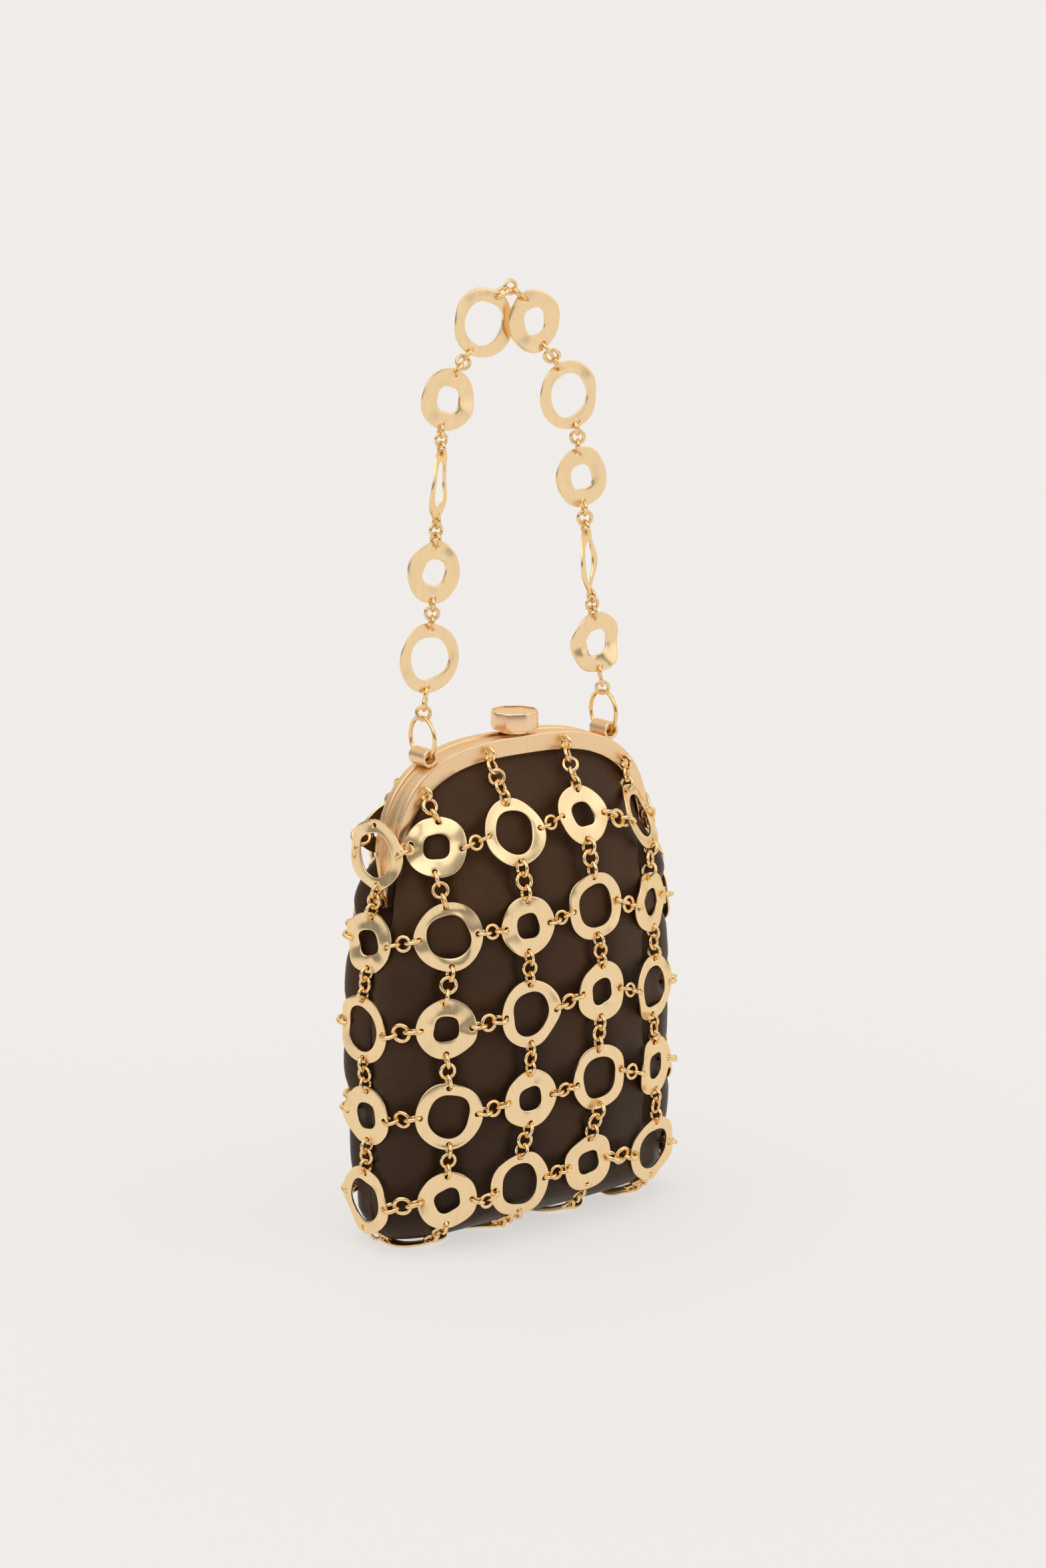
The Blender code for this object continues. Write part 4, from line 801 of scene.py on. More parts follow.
def leather_shell(name, side):
    """Front or rear leather, from the middle of the bag's underside up to the frame."""
    settings = bpy.context.scene.wrist_bag.leather
    points = [entry for entry in pressed_points() if entry[0].y * side > -PRESS_PAST_SIDE]
    levels = leather_levels()

    def place(u, v):
        part, share = levels[round(v * (len(levels) - 1))]
        return leather_point(part, share, pi * u, side, points, settings)

    bm = outward(grid(LEATHER_COLUMNS, len(levels) - 1, place))
    belly = Vector((0.0, side * BAG_HALF_DEPTH, BELLY_Z))
    middle = min(bm.faces, key=lambda face: (face.calc_center_median() - belly).length)
    if middle.normal.y * side < 0.0:
        bmesh.ops.reverse_faces(bm, faces=bm.faces)
    obj = piece(name, bm, finish("grained_leather"), 180.0, (finish("napped_lining"),))
    finer = obj.modifiers.new("finer", "SUBSURF")
    finer.levels = finer.render_levels = 1
    wall = obj.modifiers.new("wall", "SOLIDIFY")
    wall.thickness = settings.thickness
    wall.offset = -1.0
    wall.material_offset = 1
    wall.material_offset_rim = 0
    return settle(obj)


class WRISTBAG_OT_leather(Operator):
    """Front and rear leather with the gussets folded in at the sides"""
    bl_idname = "wrist_bag.leather"
    bl_label = "Leather"

    def execute(self, context):
        for side, label in ((-1.0, "front"), (1.0, "rear")):
            obj = leather_shell("leather_shell_" + label, side)
            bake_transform(obj)
            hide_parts("leather_" + label)
            if side < 0.0:
                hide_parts("leather_pouch")
        return {"FINISHED"}


# Frame

def band_section():
    """One half's section as side inset, top inset and depth from the seam."""
    low, high = BAND_ARM, BAND_TOP
    seam, deep = SEAM_GAP / 4.0, CHANNEL_DEPTH
    return ((0.0007, 0.0007, 0.0065), (0.0003, 0.0003, 0.0064), (0.0001, 0.0001, 0.0062),
            (0.0, 0.0, 0.0058), (0.0, 0.0, 0.0044), (0.0, 0.0, 0.0031), (0.0001, 0.0001, 0.0029),
            (0.0004, 0.0004, 0.0028), (0.0007, 0.0007, 0.0026), (0.0007, 0.0007, 0.0013),
            (0.0007, 0.0007, seam), (low, high, seam),
            (low, high, CHANNEL_NEAR), (low - deep, high - deep, CHANNEL_NEAR),
            (low - deep, high - deep, CHANNEL_FAR), (low, high, CHANNEL_FAR), (low, high, 0.0060),
            (low - 0.0001, high - 0.0001, 0.0063), (low - 0.0004, high - 0.0004, 0.0065),
            (low / 2.0, high / 2.0, 0.0065))


def tab_x(side):
    outer = ARCH_HALF_WIDTH - TAB_THICKNESS
    return outer if side < 0.0 else outer - TAB_THICKNESS - FIT_GAP


def frame_band(side):
    """Swept band of one frame half, slimmer towards its feet."""
    section = band_section()
    corners = len(section)

    def place(u, v):
        side_inset, top_inset, y = section[round(v * corners) % corners]
        past = u * (1.0 + 2.0 * ARM_SHARE) - ARM_SHARE
        along = min(max(past, 0.0), 1.0)
        point = arch_point(ARM_START + (pi - 2.0 * ARM_START) * along, side_inset, top_inset, side * y)
        point.z -= ARM_DROP * abs(past - along) / ARM_SHARE
        point.y *= ARM_SLIM + (1.0 - ARM_SLIM) * smooth((point.z - HINGE_Z - SLIM_START) / SLIM_FADE)
        return point

    bm = grid(BAND_STEPS, corners, place, "along")
    bmesh.ops.remove_doubles(bm, verts=bm.verts, dist=1e-6)
    rims = [edge for edge in bm.edges if edge.is_boundary]
    bmesh.ops.holes_fill(bm, edges=rims, sides=0)
    return outward(bm)


def hinge_tab(bm, hand, side):
    """Disc round the rivet and the plate that joins it to the band's foot."""
    inner = tab_x(side)
    disc = rounded_bar(hand * inner, hand * (inner + TAB_THICKNESS), 0.0, TAB_DISC_RADIUS,
                       hand * TAB_DISC_SOFT)
    turned(bm, [(abs(radius), x) for radius, x in disc[1:-2]], 24, laid((0.0, 0.0, HINGE_Z), "Y"))
    low = Vector((hand * inner, side * FIT_GAP, HINGE_Z))
    high = Vector((hand * (inner + TAB_THICKNESS), side * TAB_WIDTH, HINGE_Z + TAB_HEIGHT))
    size = Matrix.Diagonal((*(abs(c) for c in high - low), 1.0))
    bmesh.ops.create_cube(bm, size=1.0, matrix=Matrix.Translation((low + high) / 2.0) @ size)


def hook_place(x, side):
    outer, inner = arch_z(x, 0.0, 0.0), arch_z(x, BAND_ARM, BAND_TOP)
    return Vector((x, side * (BAND_HALF_DEPTH + HOOK_STANDOFF), outer + (inner - outer) * HOOK_HEIGHT))


def hook_eye(bm, x, side):
    """Hook of thick wire welded to the band's face, a little turned, with its weld."""
    middle = hook_place(x, side)
    turn = Matrix.Rotation(radians(HOOK_TURN), 4, "Z") @ Matrix.Rotation(pi / 2.0, 4, "Y")
    wire_ring(bm, HOOK_RADIUS, HOOK_WIRE, 20, 10, Matrix.Translation(middle) @ turn)
    weld = Matrix.Translation(middle + Vector((0.0, -side * WELD_INSET, WELD_RISE)))
    bmesh.ops.create_uvsphere(bm, u_segments=12, v_segments=8, radius=WELD_RADIUS, matrix=weld)


class WRISTBAG_OT_frame(Operator):
    """Both halves of the frame with their hinge tabs and hook eyes"""
    bl_idname = "wrist_bag.frame"
    bl_label = "Frame"

    def execute(self, context):
        for side, label in ((-1.0, "front"), (1.0, "rear")):
            bm = frame_band(side)
            for hand in (-1.0, 1.0):
                hinge_tab(bm, hand, side)
            obj = piece("frame_band_" + label, outward(bm), finish("rose_band_gold"), 32.0)
            stand_for(obj, "frame_" + label)
            bm = bmesh.new()
            for x in (-OUTER_HOOK_X, -INNER_HOOK_X, INNER_HOOK_X, OUTER_HOOK_X):
                hook_eye(bm, x, side)
            hooks = piece("frame_hooks_" + label, outward(bm), finish("polished_gold"), 60.0)
            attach(hooks, label + "_half")
        return {"FINISHED"}


def rivet_profile():
    """Half section of a rivet: small inner head, shank and ball."""
    inner, outer = tab_x(1.0) - FIT_GAP, tab_x(-1.0) + TAB_THICKNESS + FIT_GAP
    profile = [(0.0, inner - 0.0003), (RIVET_RADIUS, inner - 0.0002), (RIVET_HEAD, inner),
               (RIVET_HEAD, inner + 0.0002), (RIVET_RADIUS, inner + 0.0002), (RIVET_RADIUS, outer),
               (RIVET_NECK, outer)]
    for step in range(BALL_STEPS):
        angle = BALL_START + (pi / 2.0 - BALL_START) * step / BALL_STEPS
        profile.append((RIVET_BALL * cos(angle), outer + BALL_RISE + RIVET_BALL * sin(angle)))
    return profile + [(0.0, outer + BALL_RISE + RIVET_BALL)]


class WRISTBAG_OT_hinges(Operator):
    """Ball-headed rivets that the two halves turn on"""
    bl_idname = "wrist_bag.hinges"
    bl_label = "Hinge rivets"

    def execute(self, context):
        for hand, label in SIDE_NAMES.items():
            bm = bmesh.new()
            turned(bm, rivet_profile(), 24, laid((0.0, 0.0, HINGE_Z), "Y", hand * pi / 2.0))
            obj = piece("hinge_ball_" + label, outward(bm), finish("polished_gold"))
            stand_for(obj, "hinge_rivet_" + label)
        return {"FINISHED"}


# Flat rings

def plate_mesh(large, seed, holes):
    """One flat ring in the XY plane: drilled, softened at its rims and gently hammered."""
    rings = bpy.context.scene.wrist_bag.rings
    rng = random.Random(seed)
    sectors = rings.sectors
    outer = rings.large_radius if large else rings.small_radius
    inner = rings.large_hole if large else rings.small_hole
    middle, half = outer - rings.inset, rings.drill * 1.02
    near = (middle - half - inner) / 3.0
    radii = (inner, inner + near, inner + 2.0 * near, middle - half, middle, middle + half, outer)
    bands = len(radii) - 1

    def place(u, v):
        radius = radii[round(v * bands)]
        return Vector((radius * cos(2.0 * pi * u), radius * sin(2.0 * pi * u), 0.0))

    bm = grid(sectors, bands, place, "brushing")
    bmesh.ops.remove_doubles(bm, verts=bm.verts, dist=1e-6)
    for quarter in holes:
        centre = Vector((middle * cos(quarter * pi / 2.0), middle * sin(quarter * pi / 2.0), 0.0))
        tip = min(bm.verts, key=lambda vert: (vert.co - centre).length)
        around = {vert for face in tip.link_faces for vert in face.verts} - {tip}
        bmesh.ops.delete(bm, geom=[tip], context="VERTS")
        for vert in around:
            vert.co = centre + (vert.co - centre).normalized() * rings.drill
    outward(bm)
    bmesh.ops.solidify(bm, geom=bm.faces, thickness=rings.thickness)
    drop = rings.thickness / 2.0 - max(vert.co.z for vert in bm.verts)
    bmesh.ops.translate(bm, vec=(0.0, 0.0, drop), verts=bm.verts)
    outward(bm)
    rims = [edge for edge in bm.edges if edge.calc_face_angle(0.0) > 1.0]
    bmesh.ops.bevel(bm, geom=rims, offset=rings.thickness * 0.24, segments=2, profile=0.5,
                    affect="EDGES", material=-1)
    hammer(bm, rng, inner, outer, large, rings.hammer * BEATEN_SHARES.get(seed, 1.0))
    layer = bm.loops.layers.uv.active
    turn = rng.uniform(-0.5, 0.5)
    for face in bm.faces:
        for loop in face.loops:
            x = loop.vert.co.x / BRUSHING_SIZE
            y = loop.vert.co.y / BRUSHING_SIZE
            loop[layer].uv = (x * cos(turn) - y * sin(turn) + seed, x * sin(turn) + y * cos(turn))
    return as_mesh(bm, "plate")


def drawn_waves(rng, waves, least, most):
    """Draws a height and a phase for each (waves round the ring, share) pair."""
    return [(turns, share * rng.uniform(least, most), rng.uniform(0.0, 2.0 * pi))
            for turns, share in waves]


def waves_at(angle, waves, start=0.0):
    return sum((share * cos(turns * angle + phase) for turns, share, phase in waves), start)


def hammer(bm, rng, inner, outer, large, height):
    """Makes a ring's outline and hole uneven and beats soft waves into it."""
    rim = drawn_waves(rng, RIM_WAVES, 0.4, 1.0)
    hole = drawn_waves(rng, HOLE_WAVES, 0.4, 1.0)
    square = LARGE_SQUARENESS if large else SMALL_SQUARENESS
    tilt = rng.uniform(-0.35, 0.35)
    face = drawn_waves(rng, FACE_WAVES, 0.5, 1.2)
    for vert in bm.verts:
        angle, radius = atan2(vert.co.y, vert.co.x), hypot(vert.co.x, vert.co.y)
        share = min(max((radius - inner) / (outer - inner), 0.0), 1.0)
        c, s = abs(cos(angle - tilt)), abs(sin(angle - tilt))
        corner = waves_at(angle, hole, (c ** square + s ** square) ** (-1.0 / square) - 1.0)
        edge = waves_at(angle, rim)
        radius += inner * corner * (1.0 - share) ** 2 + outer * edge * share ** 3
        lift = waves_at(angle, face) * height * (0.25 + 0.75 * share)
        lift += height * 0.35 * sin(share * pi) * cos(angle + face[0][2])
        vert.co = (radius * cos(angle), radius * sin(angle), vert.co.z + lift)


def plates(name, places, holes=(0, 1, 2, 3)):
    """Flat rings at (large, place, seed) entries, as one object."""
    bm = bmesh.new()
    bm.loops.layers.uv.new("brushing")
    for large, place, seed in places:
        mesh = plate_mesh(large, seed, holes)
        stamp(bm, mesh, place)
        bpy.data.meshes.remove(mesh)
    return piece(name, bm, finish("champagne_gold"), 40.0)


def link_mesh():
    rings = bpy.context.scene.wrist_bag.rings
    bm = bmesh.new()
    wire_ring(bm, LINK_RADIUS, rings.wire, 16, 6)
    return as_mesh(outward(bm), "link")


def hung_points(start, end, out, lengths):
    """Joints of a slack chain between two ends, bowed outwards and down."""
    count = len(lengths)
    bow = (out.normalized() - LEVEL * SLACK_DROP) * SLACK_BOW
    points = [start.lerp(end, i / count) + bow * sin(pi * i / count) for i in range(count + 1)]
    for _ in range(SLACK_ROUNDS):
        for i, length in enumerate(lengths):
            gap = points[i + 1] - points[i]
            pull = gap * (0.5 * (gap.length - length) / max(gap.length, 1e-6))
            if i > 0:
                points[i] += pull
            if i < count - 1:
                points[i + 1] -= pull
    return points


def lay_chain(bm, link, start, end, out, rng, turns):
    """Hooks jump rings through each other from one hole to the next, one for each turn."""
    wire = bpy.context.scene.wrist_bag.rings.wire
    span, count = (end - start).length, len(turns)
    radius = (span + (count - 1) * wire) / (2.0 * count)
    pitch = 2.0 * radius - wire
    shares = [(radius + pitch * i) / span for i in range(count)]
    points = [start.lerp(end, share) for share in (0.0, *shares, 1.0)]
    if radius < LINK_RADIUS * SLACK_BELOW:
        radius = LINK_RADIUS
        pitch = 2.0 * radius - wire
        points = hung_points(start, end, out, [radius] + [pitch] * (count - 1) + [radius])
    for i, turn in enumerate(turns):
        middle = points[i + 1]
        along = (points[i + 2] - points[i]).normalized()
        way = (out - along * out.dot(along)).normalized()
        angle = radians(turn + rng.uniform(-TURN_SPREAD, TURN_SPREAD))
        face = way * cos(angle) + along.cross(way) * sin(angle)
        face = (face + along * rng.uniform(-LEAN_SPREAD, LEAN_SPREAD)).normalized()
        lean = (along - face * along.dot(face)).normalized()
        place = placed(middle, lean, face.cross(lean), face)
        stamp(bm, link, place @ Matrix.Scale(radius / LINK_RADIUS, 4))


def chains(name, entries, seed):
    """Chains of jump rings from (start, end, out, turns) entries, as one object."""
    rng = random.Random(seed)
    link = link_mesh()
    bm = bmesh.new()
    for start, end, out, turns in entries:
        lay_chain(bm, link, start, end, out, rng, turns)
    bpy.data.meshes.remove(link)
    return piece(name, bm, finish("polished_gold"), 180.0)


def flat_first(start, end):
    """Turns of as many rings as fill a gap, the first one flat."""
    wire = bpy.context.scene.wrist_bag.rings.wire
    count = round(((end - start).length - wire) / (2.0 * LINK_RADIUS - wire))
    return tuple(90.0 * (i % 2) for i in range(max(count, 2)))


def across_chain(column, row):
    return (*across_ends(column, row), EDGE_FLAT_EDGE)


def upright_chain(column, row):
    return (*upright_ends(column, row), EDGE_FLAT_EDGE)


def hook_chain(column, side):
    """Chain from a hook eye on the frame to the top hole of a ring."""
    x = column_x(column)
    inner = abs(x) < OUTER_COLUMN_X
    hook_x = (INNER_HOOK_X if inner else OUTER_HOOK_X) * (1.0 if x > 0.0 else -1.0)
    eye = hook_place(hook_x, side) - LEVEL * HOOK_RADIUS
    hole = net_hole(column, 1, 0.0, 1.0)
    return hole, eye, outwards(column, 1), INNER_HOOK_TURNS if inner else OUTER_HOOK_TURNS


class WRISTBAG_OT_net(Operator):
    """Belts of flat rings round the pouch, their chains and the rings under the bag"""
    bl_idname = "wrist_bag.net"
    bl_label = "Net"

    def execute(self, context):
        for row in range(2, NET_ROWS + 1):
            places = [(ring_is_large(c, row), plate_frame(c, row), 10 * row + c) for c in range(COLUMNS)]
            flat = plates("net_rings_%d" % row, places)
            stand_for(flat, "net_row_%d" % row)
            entries = [across_chain(c, row) for c in range(COLUMNS)]
            if row > 2:
                entries += [upright_chain(c, row) for c in range(COLUMNS)]
            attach(chains("net_links_%d" % row, entries, 100 + row), "bag")
        for column, label in ((SIDE_LEFT, "left"), (SIDE_RIGHT, "right")):
            places = [(ring_is_large(column, 1), plate_frame(column, 1), 10 + column)]
            stand_for(plates("net_side_ring_" + label, places), "side_ring_" + label)
            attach(chains("net_side_links_" + label, [upright_chain(column, 2)], 200 + column), "bag")
        self.base()
        return {"FINISHED"}

    def base(self):
        """Flat rings that the bag stands on, and their chains along it and up to the lowest row."""
        thickness = bpy.context.scene.wrist_bag.rings.thickness
        xs = (-OUTER_COLUMN_X, -INNER_COLUMN_X, INNER_COLUMN_X, OUTER_COLUMN_X)
        larges = [ring_is_large(i + 1, NET_ROWS + 1) for i in range(4)]
        reaches = [ring_reach(large) for large in larges]
        middles = [Vector((x, 0.0, thickness / 2.0)) for x in xs]
        places = [(large, Matrix.Translation((x, 0.0, thickness / 2.0 + BASE_RING_LIFT)), 70 + i)
                  for i, (large, x) in enumerate(zip(larges, xs))]

        def hole(i, x, y):
            return middles[i] + Vector((x * reaches[i], y * reaches[i], BASE_LINK_LIFT))

        entries = [(hole(i, 1.0, 0.0), hole(i + 1, -1.0, 0.0), -LEVEL, BASE_TURNS) for i in range(3)]
        for hand, column, i in ((-1.0, SIDE_LEFT, 0), (1.0, SIDE_RIGHT, 3)):
            start, end = hole(i, hand, 0.0), net_hole(column, NET_ROWS, 0.0, -1.0)
            entries.append((start, end, Vector((hand, 0.0, -0.6)), flat_first(start, end)))
        for i in range(4):
            for side, column in ((-1.0, 1 + i), (1.0, 9 - i)):
                start, end = hole(i, 0.0, side), net_hole(column, NET_ROWS, 0.0, -1.0)
                entries.append((start, end, outwards(column, NET_ROWS) - LEVEL, flat_first(start, end)))
        flat = plates("net_base_rings", places)
        stand_for(flat, "net_base")
        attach(chains("net_base_links", entries, 300), "bag")


class WRISTBAG_OT_top_net(Operator):
    """Rows of rings that hang from the frame's hooks, and the chains down to the next row"""
    bl_idname = "wrist_bag.top_net"
    bl_label = "Top of the net"

    def execute(self, context):
        for side, label, columns in ((-1.0, "front", (1, 2, 3, 4)), (1.0, "rear", (6, 7, 8, 9))):
            places = [(ring_is_large(c, 1), plate_frame(c, 1), 10 + c) for c in columns]
            stand_for(plates("net_rings_" + label, places), "net_" + label)
            entries = [across_chain(c, 1) for c in columns[:-1]]
            entries += [hook_chain(c, side) for c in columns]
            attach(chains("net_links_" + label, entries, 400 + columns[0]), label + "_half")
            for i, column in enumerate(columns):
                name = "drop_chain_%s_%d" % (label, i + 1)
                entry = upright_chain(column, 2)
                obj = chains("links_" + name, [entry], 500 + column)
                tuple(entry[0])
                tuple(entry[1])
                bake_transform(obj)
                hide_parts(name)
            for column in (columns[0] - 1, columns[-1]):
                start, end, out = across_ends(column, 1)
                entry = (start, end, out, CORNER_TURNS)
                obj = chains("corner_links_%s_%d" % (label, column), [entry], 600 + column)
                if column == columns[-1]:
                    start, end = end, start
                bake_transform(obj)
                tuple(start)
                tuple(end)
        return {"FINISHED"}


# Lugs, loops and strap

class WRISTBAG_OT_loops(Operator):
    """Lug tubes across the frame's shoulders and the large wire loops through them"""
    bl_idname = "wrist_bag.loops"
    bl_label = "Lugs and loops"

    def execute(self, context):
        wire = context.scene.wrist_bag.rings.loop_wire
        for hand, label in SIDE_NAMES.items():
            bm = bmesh.new()
            bar = rounded_bar(-LUG_REAR_Y, -LUG_FRONT_Y, LUG_BORE, LUG_RADIUS, 0.0003)
            turned(bm, bar, 32, laid((hand * LUG_X, 0.0, LUG_Z), "X"))
            tube = piece("lug_tube_" + label, outward(bm), finish("rose_band_gold"), 40.0)
            stand_for(tube, "lug_" + label)
            bm = bmesh.new()
            wire_ring(bm, LOOP_RADIUS, wire, 56, 10, laid((hand * LUG_X, 0.0, LOOP_Z), "Y"))
            loop = piece("wire_loop_" + label, outward(bm), finish("polished_gold"), 180.0)
            stand_for(loop, "strap_loop_" + label)
        return {"FINISHED"}


def strap_place(hand, index):
    """Place of a strap ring: X across, Y from hole to hole and Z out."""
    x = hand * LUG_X * STRAP_X[hand][index]
    z = STRAP_FOOT_Z + (STRAP_TOP.z - STRAP_FOOT_Z) * STRAP_Z[hand][index]
    y = CROSSED_OFFSET * -hand if index == 4 else 0.0
    lean = radians(STRAP_LEANS[hand][index])
    up = Vector((sin(lean), 0.0, cos(lean)))
    out = Vector((0.0, -1.0, 0.0))
    out.rotate(Matrix.Rotation(radians(STRAP_TURNS[hand][index]), 3, up))
    return placed(Vector((x, y, z)), up.cross(out), up, out)


def strap_hole(hand, index, sign):
    reach = ring_reach(STRAP_LARGE[hand][index])
    return strap_place(hand, index) @ Vector((0.0, sign * reach, 0.0))


def strap_out(hand, index):
    return strap_place(hand, index).to_3x3() @ LEVEL


class WRISTBAG_OT_strap(Operator):
    """Flat rings of the strap, each on its own body, and the jump rings between them"""
    bl_idname = "wrist_bag.strap"
    bl_label = "Strap"

    def execute(self, context):
        for hand, label in SIDE_NAMES.items():
            for index in range(5):
                entry = (STRAP_LARGE[hand][index], strap_place(hand, index), 80 + 5 * (hand > 0) + index)
                name = "%s_%d" % (label, index + 1)
                stand_for(plates("strap_plate_" + name, [entry], (1, 3)), "strap_ring_" + name)
                if index == 0:
                    start = Vector((hand * LUG_X, 0.0, LOOP_Z + LOOP_RADIUS - LOOP_LINK_DROP))
                    turns, out = LOOP_TURNS, strap_out(hand, 0)
                else:
                    start = strap_hole(hand, index - 1, 1.0)
                    turns, out = HUNG_TURNS, strap_out(hand, index - 1) + strap_out(hand, index)
                end = strap_hole(hand, index, -1.0)
                obj = chains("strap_chain_" + name, [(start, end, out, turns)], 700 + 10 * hand + index)
                stand_for(obj, "strap_links_" + name)
        self.apex()
        return {"FINISHED"}

    def apex(self):
        """Topmost jump ring, and one more on each side down to the top flat rings."""
        link, rng = link_mesh(), random.Random(800)
        bm = bmesh.new()
        stamp(bm, link, laid(STRAP_TOP, "X"))
        for hand in SIDE_NAMES:
            hole = strap_hole(hand, 4, 1.0)
            edge = STRAP_TOP - (STRAP_TOP - hole).normalized() * TOP_LINK_DROP
            lay_chain(bm, link, hole, edge, strap_out(hand, 4), rng, (90.0,))
        bpy.data.meshes.remove(link)
        obj = piece("strap_chain_top", bm, finish("polished_gold"), 180.0)
        stand_for(obj, "strap_top_links")


# Clasp

def cap_profile(low, clasp):
    """Half section of the cap from the stem's seat, past the spring's groove, to its dished top."""
    radius, high = clasp.cap_radius, low + clasp.cap_height
    rim, dish = clasp.rim, clasp.dish
    seat, room, wall = low + STEM_SEAT, low + SPRING_ROOM, CAP_WALL_RADIUS
    return ((0.0, seat), (STEM_SEAT_RADIUS, seat), (STEM_SEAT_RADIUS + 0.0001, room),
            (SPRING_ROOM_RADIUS, room), (wall - 0.0002, room - 0.0003), (wall, low), (radius - 0.0006, low),
            (radius - 0.00015, low + 0.00015), (radius, low + 0.0006), (radius, low + 0.0030),
            (radius, high - 0.0005), (radius - 0.00012, high - 0.00015), (radius - 0.0003, high),
            (radius - rim, high), (radius - rim - 0.0001, high - 0.0001),
            (radius - rim - 0.0001, high - dish), (0.0060, high - dish), (0.0, high - dish))


class WRISTBAG_OT_clasp(Operator):
    """Eight-sided push button with a dished top over its collar, spring and catch"""
    bl_idname = "wrist_bag.clasp"
    bl_label = "Clasp"

    def execute(self, context):
        clasp = context.scene.wrist_bag.clasp
        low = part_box("clasp_button")[1].z - clasp.cap_height
        bm = bmesh.new()
        turned(bm, cap_profile(low, clasp), 96)
        sector = 2.0 * pi / clasp.sides
        for vert in bm.verts:
            radius = hypot(vert.co.x, vert.co.y)
            if radius > CAP_WALL_RADIUS + 0.0001:
                angle = (atan2(vert.co.y, vert.co.x) + radians(CAP_TURN)) % sector - sector / 2.0
                flat = cos(sector / 2.0) / max(cos(angle), 0.001)
                vert.co.xy = vert.co.xy * min(flat * CAP_CORNER, 1.0)
        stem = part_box("clasp_button")[0].z
        turned(bm, ((0.0, stem), (STEM_RADIUS - 0.0003, stem), (STEM_RADIUS, stem + 0.0004),
                    (STEM_RADIUS, low + STEM_TOP)), 20)
        obj = piece("button_cap", outward(bm), finish("rose_cap_gold"), 32.0)
        stand_for(obj, "clasp_button")
        for node in ("clasp_collar", "clasp_catch", "clasp_spring"):
            dressed = frame["nodes"][node]
            dressed.data.materials.clear()
            dressed.data.materials.append(finish("polished_gold"))
        return {"FINISHED"}


# Stage

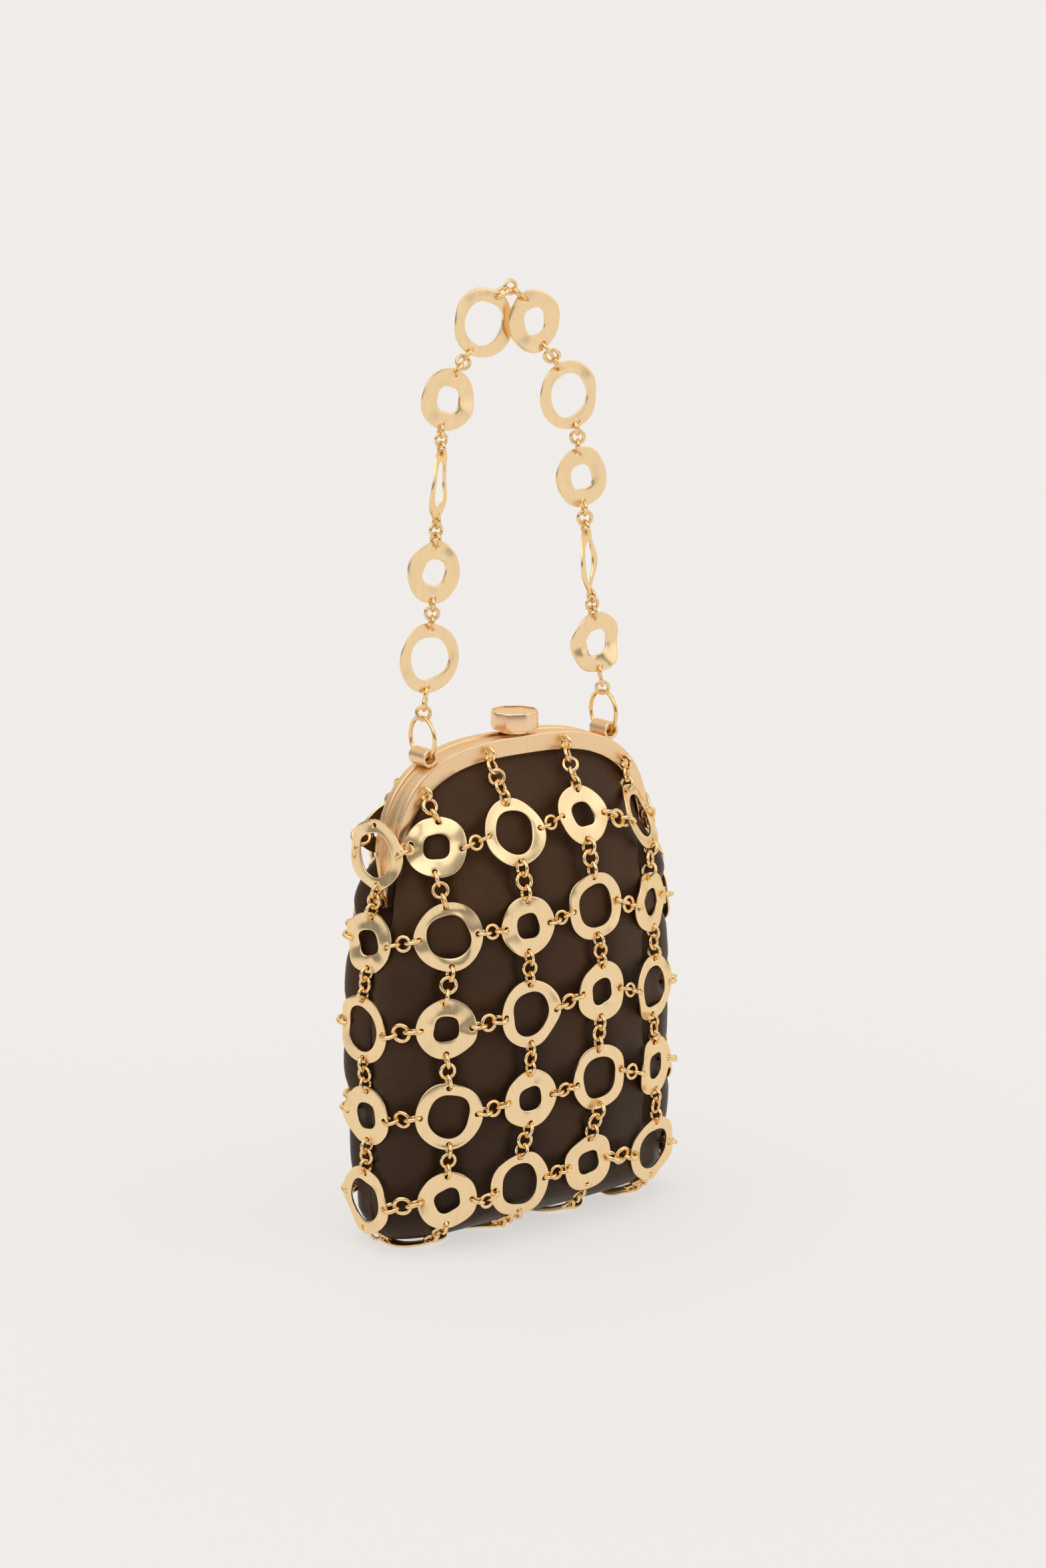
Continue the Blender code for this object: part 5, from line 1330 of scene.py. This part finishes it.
class WRISTBAG_OT_stage(Operator):
    """Pale floor, soft studio light and the camera"""
    bl_idname = "wrist_bag.stage"
    bl_label = "Stage"

    def execute(self, context):
        scene, settings = context.scene, context.scene.wrist_bag.stage
        scene.view_settings.view_transform = "Standard"
        bm = bmesh.new()
        bmesh.ops.create_grid(bm, x_segments=8, y_segments=8, size=FLOOR_SIZE)
        mesh = as_mesh(bm, "floor")
        floor = bpy.data.objects.new("floor", mesh)
        scene.collection.objects.link(floor)
        made, _, _, shader = shader_nodes("floor_paper", settings.floor, 0.95, 0.0)
        shader.inputs["Specular IOR Level"].default_value = 0.0
        shader.inputs["Emission Color"].default_value = (*settings.floor, 1.0)
        shader.inputs["Emission Strength"].default_value = settings.glow
        mesh.materials.append(made)
        scene.world = self.studio(settings)
        self.light("key", settings.key, KEY_AZIMUTH, KEY_ELEVATION, KEY_WIDTH)
        self.light("fill", settings.fill, FILL_AZIMUTH, FILL_ELEVATION, FILL_WIDTH)
        self.camera(scene, settings)
        return {"FINISHED"}

    def studio(self, settings):
        """Surroundings that are dim at eye level, and bright overhead and behind the bag. The
        camera itself sees pale paper."""
        world = bpy.data.worlds.new("studio")
        world.use_nodes = True
        nodes, links = world.node_tree.nodes, world.node_tree.links
        coordinates = nodes.new("ShaderNodeTexCoord")
        split = nodes.new("ShaderNodeSeparateXYZ")
        ramp = nodes.new("ShaderNodeValToRGB")
        ramp.color_ramp.elements[0].position = 0.04
        ramp.color_ramp.elements[0].color = (*settings.walls, 1.0)
        ramp.color_ramp.elements[1].position = 0.75
        ramp.color_ramp.elements[1].color = (*settings.ceiling, 1.0)
        links.new(coordinates.outputs["Generated"], split.inputs["Vector"])
        links.new(split.outputs["Z"], ramp.inputs["Fac"])
        away = nodes.new("ShaderNodeVectorMath")
        away.operation = "DOT_PRODUCT"
        away.inputs[1].default_value = (-sin(settings.azimuth), cos(settings.azimuth), 0.0)
        links.new(coordinates.outputs["Generated"], away.inputs[0])
        behind = nodes.new("ShaderNodeMix")
        behind.data_type = "RGBA"
        behind.inputs["B"].default_value = (*settings.backdrop, 1.0)
        links.new(spread(nodes, links, away.outputs["Value"], 0.0, 1.0, 0.35, 0.75), behind.inputs["Factor"])
        links.new(ramp.outputs["Color"], behind.inputs["A"])
        seen = nodes.new("ShaderNodeMix")
        seen.data_type = "RGBA"
        seen.inputs["B"].default_value = (*settings.paper, 1.0)
        links.new(nodes.new("ShaderNodeLightPath").outputs["Is Camera Ray"], seen.inputs["Factor"])
        links.new(behind.outputs["Result"], seen.inputs["A"])
        links.new(seen.outputs["Result"], nodes["Background"].inputs["Color"])
        return world

    def light(self, name, strength, azimuth, elevation, width):
        lamp = bpy.data.lights.new(name, "SUN")
        lamp.energy = strength
        lamp.angle = radians(width)
        obj = bpy.data.objects.new(name, lamp)
        a, e = radians(azimuth), radians(elevation)
        back = Vector((sin(a) * cos(e), -cos(a) * cos(e), sin(e)))
        obj.rotation_euler = back.to_track_quat("Z", "Y").to_euler()
        bpy.context.scene.collection.objects.link(obj)

    def camera(self, scene, settings):
        lens = bpy.data.cameras.new("camera")
        lens.sensor_fit = "VERTICAL"
        lens.sensor_height, lens.sensor_width = 36.0, 24.0
        lens.lens = settings.lens
        lens.clip_start, lens.clip_end = 0.05, 3000.0
        camera = bpy.data.objects.new("camera", lens)
        a, e = settings.azimuth, settings.elevation
        back = Vector((sin(a) * cos(e), -cos(a) * cos(e), sin(e)))
        camera.location = LOOK_AT + back * settings.distance
        camera.rotation_euler = back.to_track_quat("Z", "Y").to_euler()
        scene.collection.objects.link(camera)
        scene.camera = camera


STEPS = (WRISTBAG_OT_stage, WRISTBAG_OT_leather, WRISTBAG_OT_frame, WRISTBAG_OT_hinges,
         WRISTBAG_OT_net, WRISTBAG_OT_top_net, WRISTBAG_OT_loops, WRISTBAG_OT_strap,
         WRISTBAG_OT_clasp)


class WRISTBAG_PT_panel(Panel):
    bl_label = "Wrist Bag"
    bl_idname = "WRISTBAG_PT_panel"
    bl_space_type = "VIEW_3D"
    bl_region_type = "UI"
    bl_category = "Wrist Bag"

    def draw(self, context):
        for step in STEPS:
            self.layout.operator(step.bl_idname)
        for group in ("leather", "rings", "metal", "clasp", "stage"):
            box = self.layout.box()
            box.label(text=group.capitalize())
            settings = getattr(context.scene.wrist_bag, group)
            for name in settings.__annotations__:
                box.prop(settings, name)


CLASSES = (LeatherSettings, RingSettings, MetalSettings, ClaspSettings, StageSettings,
           BagSettings, *STEPS, WRISTBAG_PT_panel)


def register():
    for each in CLASSES:
        bpy.utils.register_class(each)
    bpy.types.Scene.wrist_bag = PointerProperty(type=BagSettings)


def unregister():
    del bpy.types.Scene.wrist_bag
    for each in reversed(CLASSES):
        bpy.utils.unregister_class(each)


def main():
    register()
    bpy.ops.wrist_bag.stage()
    bpy.ops.wrist_bag.leather()
    bpy.ops.wrist_bag.frame()
    bpy.ops.wrist_bag.hinges()
    bpy.ops.wrist_bag.net()
    bpy.ops.wrist_bag.top_net()
    bpy.ops.wrist_bag.loops()
    bpy.ops.wrist_bag.strap()
    bpy.ops.wrist_bag.clasp()


if __name__ == "__main__":
    main()
